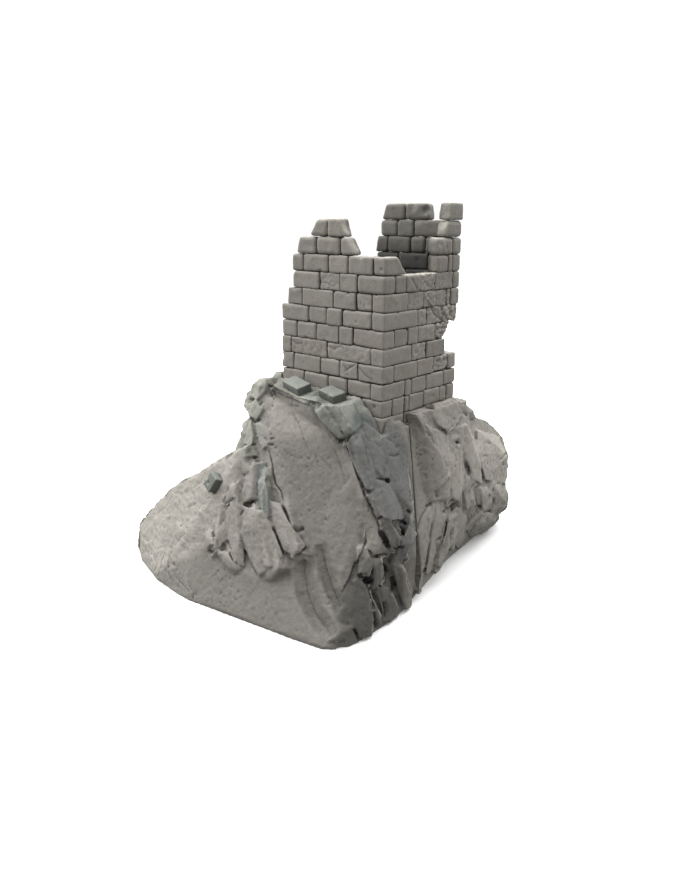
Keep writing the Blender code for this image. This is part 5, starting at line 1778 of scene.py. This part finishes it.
    def weather(self, arrays: MeshArrays, front: bool, noise: Noise) -> tuple[np.ndarray, np.ndarray]:
        """Break the skin, cut the cracks and sink the pits.

        Args:
            arrays: The casting's mesh.
            front: Whether it is the front casting.
            noise: Its noise.

        Returns:
            Which points the camera sees, and their pixels.
        """
        arrays.points = relaxed(arrays.points, arrays.edges, 1, 0.3)
        arrays.store()
        shown = self.seen(arrays)
        pixels = CAMERA.project(arrays.points)
        smooth = np.zeros(len(pixels))
        for zone in (SLAB, APRON_FRONT):
            smooth = np.maximum(smooth, np.where(shown, zone.share(pixels), 0.0))
        striated = np.where(shown, APRON_LEFT.share(pixels), 0.0)
        eased = relaxed(arrays.points, arrays.edges, self.ease_rounds) - arrays.points
        arrays.points = arrays.points + np.clip(smooth + striated, 0.0, 1.0)[:, None] * eased
        arrays.store()
        rough = np.clip(1.0 - smooth - 0.8 * striated, 0.0, 1.0)
        rough = rough * self.seen_rough + self.rim_rough * RIM.share(pixels)
        rough = np.where(shown, rough, self.unseen_rough)
        depth = np.zeros(len(pixels))
        deep = np.maximum(PROW_FOOT.share(pixels[shown]), KNUCKLES.share(pixels[shown]))
        cut = self.crack_share + (self.deep_share - self.crack_share) * deep
        for stroke in STROKES:
            depth[shown] += stroke.depths(pixels[shown]) * (cut if stroke.mark is CRACK else 1.0)
        lift = self.relief(arrays.points / MM, noise, shown, rough, striated)
        lift = (lift * MM - depth) * self.held(arrays.points, front)
        arrays.points = arrays.points + arrays.normals * lift[:, None]
        self.sink_pits(arrays, front)
        self.clear_blocks(arrays)
        self.keep_planes(arrays, front)
        arrays.store()
        return shown, pixels

    def relief(self, where: np.ndarray, noise: Noise, shown: np.ndarray, rough: np.ndarray,
               striated: np.ndarray) -> np.ndarray:
        """Height of the broken skin.

        Args:
            where: Places in millimetres, one per row.
            noise: The casting's noise.
            shown: Which points the camera sees.
            rough: How broken the skin is at each point.
            striated: How far each point belongs to the striated slope.

        Returns:
            Heights in millimetres.
        """
        layered = where @ np.array(Matrix.Rotation(math.radians(self.layer_lean), 3, "Y")).T
        layered = layered + self.layer_bend * noise.smooth(where / 5.0)[:, None]
        plane, gap = noise.facets(layered / np.array(self.plate_mm))
        fine, fine_gap = noise.facets(layered / np.array(self.shard_mm) + 40.0)
        lift = rough * (self.plate_lift * plane - self.plate_crack * step_up(0.16, 0.0, gap))
        crests = self.crest_lift * noise.ridges(layered / np.array(self.crest_mm))
        crests += self.small_crest_lift * noise.ridges(layered / np.array(self.small_crest_mm) + 20.0)
        lift += np.where(shown, 0.0, crests)
        shards = self.shard_lift * fine - self.shard_crack * step_up(0.12, 0.0, fine_gap)
        lift += (0.12 + 0.88 * rough) * shards
        lift += (self.swell_lift * noise.fractal(where / self.swell_mm, 3)
                 + self.grain_lift * noise.fractal(where / self.grain_mm, 2))
        bent = where + 2.0 * noise.smooth(where / 7.0)[:, None]
        streak = bent @ np.array(Matrix.Rotation(math.radians(self.streak_lean), 3, "Z")).T
        lift += striated * self.streak_lift * (noise.fractal(streak / np.array(self.streak_mm), 3)
                                               + noise.fractal(where / 5.0 + 9.0, 2))
        return lift

    def sink_pits(self, arrays: MeshArrays, front: bool) -> None:
        """Sink the pits of the patches, and others at random on the far sides.

        Args:
            arrays: The casting's mesh.
            front: Whether it is the front casting.
        """
        chance = random.Random(5 if front else 6)
        spots = []
        for patch in PITS:
            for _ in range(patch.count):
                turn, reach = chance.uniform(0.0, 2.0 * math.pi), math.sqrt(chance.random())
                pixel = (patch.middle[0] + patch.half[0] * reach * math.cos(turn),
                         patch.middle[1] + patch.half[1] * reach * math.sin(turn))
                spots.append(self.hit(pixel)[0])
        for _ in range(self.back_pits):
            spots.append(Vector(arrays.points[chance.randrange(len(arrays.points))]))
        near = KDTree(len(arrays.points))
        for index, point in enumerate(arrays.points):
            near.insert(point, index)
        near.balance()
        free = self.held(arrays.points, front)
        for spot in spots:
            reach = chance.uniform(0.5, 0.8) * MM
            depth = chance.uniform(0.12, 0.38) * reach
            for _, index, distance in near.find_range(near.find(spot)[0], reach):
                share = 1.0 - (distance / reach) ** 2
                arrays.points[index] -= arrays.normals[index] * depth * share * free[index]

    def clear_blocks(self, arrays: MeshArrays) -> None:
        """Lower the skin under and round each fallen block, so that the block lies on it.

        Args:
            arrays: The casting's mesh.
        """
        for node in FallenBlocks.nodes:
            corners = FallenBlocks.corners(node)
            start = corners[0, 0, 0]
            sides = [corners.take(1, axis)[0, 0] - start for axis in range(3)]
            lengths = [np.linalg.norm(side) for side in sides]
            away = arrays.points - start
            along, inward, up = [away @ (side / length) for side, length in zip(sides, lengths)]
            outside = np.maximum(-along, along - lengths[0])
            outside = np.maximum(outside, np.maximum(-inward, inward - lengths[1]))
            level = (up > -2.0 * MM) & (up < lengths[2] + 8.0 * MM)
            near = step_up(self.clear_mm * MM, 0.2 * MM, outside) * level
            sink = near * np.maximum(up - self.bedded_mm * MM, 0.0)
            arrays.points = arrays.points - sink[:, None] * (sides[2] / lengths[2])

    def keep_planes(self, arrays: MeshArrays, front: bool) -> None:
        """Keep the underside, the seam and the tower's floor flat.

        Args:
            arrays: The casting's mesh.
            front: Whether it is the front casting.
        """
        points = arrays.points
        points[:, 2] = np.where(points[:, 2] < 0.35 * MM, 0.0, np.minimum(points[:, 2], self.floor))
        if front:
            points[:, 1] = np.minimum(points[:, 1], self.seam - self.seam_gap / 2)
        else:
            points[:, 1] = np.maximum(points[:, 1], self.seam + self.seam_gap / 2)
            head = points[:, 0] > self.tower_high[0] - 1.2 * MM
            head &= points[:, 1] < self.seam + self.head_reach
            points[:, 2] = np.where(head, np.minimum(points[:, 2], self.head), points[:, 2])

    def tones(self, arrays: MeshArrays, shown: np.ndarray, pixels: np.ndarray) -> np.ndarray:
        """Colour of each point: resin, with painted light and shade by zone, painted shade in hollows,
        crevices and along the seam, and painted highlight on edges.

        Args:
            arrays: The casting's mesh.
            shown: Which points the camera sees.
            pixels: Their pixels.

        Returns:
            Red, green and blue, one row per point.
        """
        # Painted shade in hollows and broad hollows, and painted highlight on edges
        shade = arrays.edge_shade(6, self.hollow_mm, self.hollow_shade, self.edge_highlight)
        shade -= self.broad_shade * np.clip(arrays.hollow(24) / MM, 0.0, 1.0)
        # Painted shade in crevices, deeper at the prow's foot
        foot = np.where(shown, np.maximum(PROW_FOOT.share(pixels), KNUCKLES.share(pixels)), 0.0)
        shut = Crevices([arrays.mesh], self.crevice_mm).share(arrays)
        shade -= (self.crevice_shade + self.foot_shade * foot) * shut
        # Painted shade along the seam, strongest on the outer faces
        outer = step_up(0.97, 0.8, np.abs(arrays.normals[:, 1]))
        near = step_up(*self.seam_band, np.abs(arrays.points[:, 1] - self.seam))
        shade *= 1.0 - (0.2 + 0.55 * outer) * near
        tones = np.array(self.tone) * np.clip(shade, 0.1, 1.3)[:, None]
        # Painted light and shade: each zone's factor on the colour
        for zone, light_factor in ZONE_LIGHT_AND_SHADE:
            share = np.where(shown, zone.share(pixels), 0.0)[:, None]
            tones = tones * (1.0 - share + share * np.array(light_factor))
        return tones

    def build(self) -> None:
        """Build both castings."""
        material = self.finish.material()
        slabs = [self.flake_mesh(flake) for flake in FLAKES]
        for node, front in (("rock_front", True), ("rock_rear", False)):
            mesh = self.remeshed(node, [slab for slab, in_front in slabs if in_front == front])
            arrays = MeshArrays(mesh)
            shown, pixels = self.weather(arrays, front, Noise(11 if front else 12))
            arrays.paint(self.tones(arrays, shown, pixels))
            mesh = self.thinned(mesh)
            mesh.shade_smooth()
            mesh.set_sharp_from_angle(angle=math.radians(self.sharp_angle))
            dress(add_object(f"{node}_casting", mesh), node, self.finish, material)


# Loose pieces

@dataclass
class FallenBlocks:
    """The three blocks that lie on the rock."""
    nodes: tuple[str, ...] = ("fallen_block_left", "fallen_block_right", "fallen_block_slope")
    tone: Triple = (0.185, 0.199, 0.172)
    # Painted shade on the sides, darker than the tops, and painted highlight on the edges
    side_shade: float = 0.5
    edge_mm: float = 0.12
    edge_highlight: float = 0.12
    finish: ResinFinish = ResinFinish("fallen_resin_cast", "fallen_block_resin", 5.0, 0.7, 0.8, 0.2, 0.74,
                                      0.3)

    @staticmethod
    def corners(node: str) -> np.ndarray:
        """Eight corners of a block, read from its largest faces.

        Args:
            node: The CAD node.

        Returns:
            The corners, by along, inward and up.
        """
        mesh = frame["nodes"][node].data
        facing = {}
        for polygon in mesh.polygons:
            normal = polygon.normal if polygon.normal.z >= 0 else -polygon.normal
            key = tuple(round(part, 2) for part in normal)
            facing[key] = facing.get(key, 0.0) + polygon.area
        ranked = sorted(facing, key=facing.get, reverse=True)
        up = Vector(ranked[0]).normalized()
        inward = next(Vector(key) for key in ranked if abs(Vector(key).dot(up)) < 0.3)
        inward = (inward - up * inward.dot(up)).normalized()
        along = inward.cross(up)
        axes = np.array([along, inward, up])
        local = np.array([vertex.co for vertex in mesh.vertices]) @ axes.T
        low, high = local.min(axis=0), local.max(axis=0)
        made = np.zeros((2, 2, 2, 3))
        for place in product((0, 1), repeat=3):
            made[place] = np.where(np.array(place) == 1, high, low) @ axes
        return made

    def build(self) -> None:
        """Build the blocks."""
        material = self.finish.material()
        for number, node in enumerate(self.nodes):
            form = BlockForm(self.corners(node), 900 + number, 0.4, 0.4, 0.05, 0.12, 0.05, 3)
            points, faces = form.build()
            mesh = mesh_of(f"{node}_cast", points, faces)
            arrays = MeshArrays(mesh)
            # Painted shade on the sides, darker than the tops, and painted highlight on the edges
            shade = arrays.edge_shade(4, self.edge_mm, 0.0, self.edge_highlight)
            shade *= self.side_shade + (1.0 - self.side_shade) * step_up(0.2, 0.75, arrays.normals[:, 2])
            arrays.paint(np.array(self.tone) * shade[:, None])
            mesh.shade_smooth()
            dress(add_object(f"{node}_cast", mesh), node, self.finish, material)


@dataclass
class LocatingPins:
    """Drawn rods with turned ends, between the sections."""
    nodes: tuple[str, ...] = ("seam_pin_left", "seam_pin_right", "tower_pin_left", "tower_pin_right")
    sides: int = 32
    chamfer: float = 0.35 * MM
    finish: BrassFinish = BrassFinish()

    def build(self) -> None:
        """Build the pins."""
        material = self.finish.material()
        for node in self.nodes:
            low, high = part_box(node)
            middle, size = (low + high) / 2, high - low
            length = max(size)
            radius = min(size) / 2
            turn = Matrix.Rotation(math.radians(90.0), 4, "X") if size.y == length else Matrix.Identity(4)
            half = length / 2
            turned_end = ((radius - self.chamfer, half), (radius - 0.1 * self.chamfer, half - self.chamfer),
                          (radius, half - 1.6 * self.chamfer))
            profile = [*((reach, -height) for reach, height in turned_end), (radius, 0.0), *turned_end[::-1]]
            angles = [2.0 * math.pi * side / self.sides for side in range(self.sides)]
            bm = bmesh.new()
            rings = []
            for reach, height in profile:
                ring = [(reach * math.cos(angle), reach * math.sin(angle), height) for angle in angles]
                rings.append([bm.verts.new(spot) for spot in ring])
            for lower, upper in zip(rings, rings[1:]):
                for side in range(self.sides):
                    after = (side + 1) % self.sides
                    bm.faces.new((lower[side], lower[after], upper[after], upper[side]))
            bm.faces.new(rings[0][::-1])
            bm.faces.new(rings[-1])
            mesh = mesh_from(bm, f"{node}_rod")
            mesh.transform(Matrix.Translation(middle) @ turn)
            dress(add_object(f"{node}_rod", mesh), node, self.finish, material)


def main() -> None:
    """Build the studio, the rock, the tower and the loose pieces in order."""
    logging.basicConfig(level=logging.INFO, format="%(name)s: %(message)s")
    bpy.context.scene.view_settings.view_transform = "Standard"
    CAMERA.make()
    Studio().build()
    RockCasting().build()
    Masonry().build()
    FallenBlocks().build()
    LocatingPins().build()


if __name__ == "__main__":
    main()
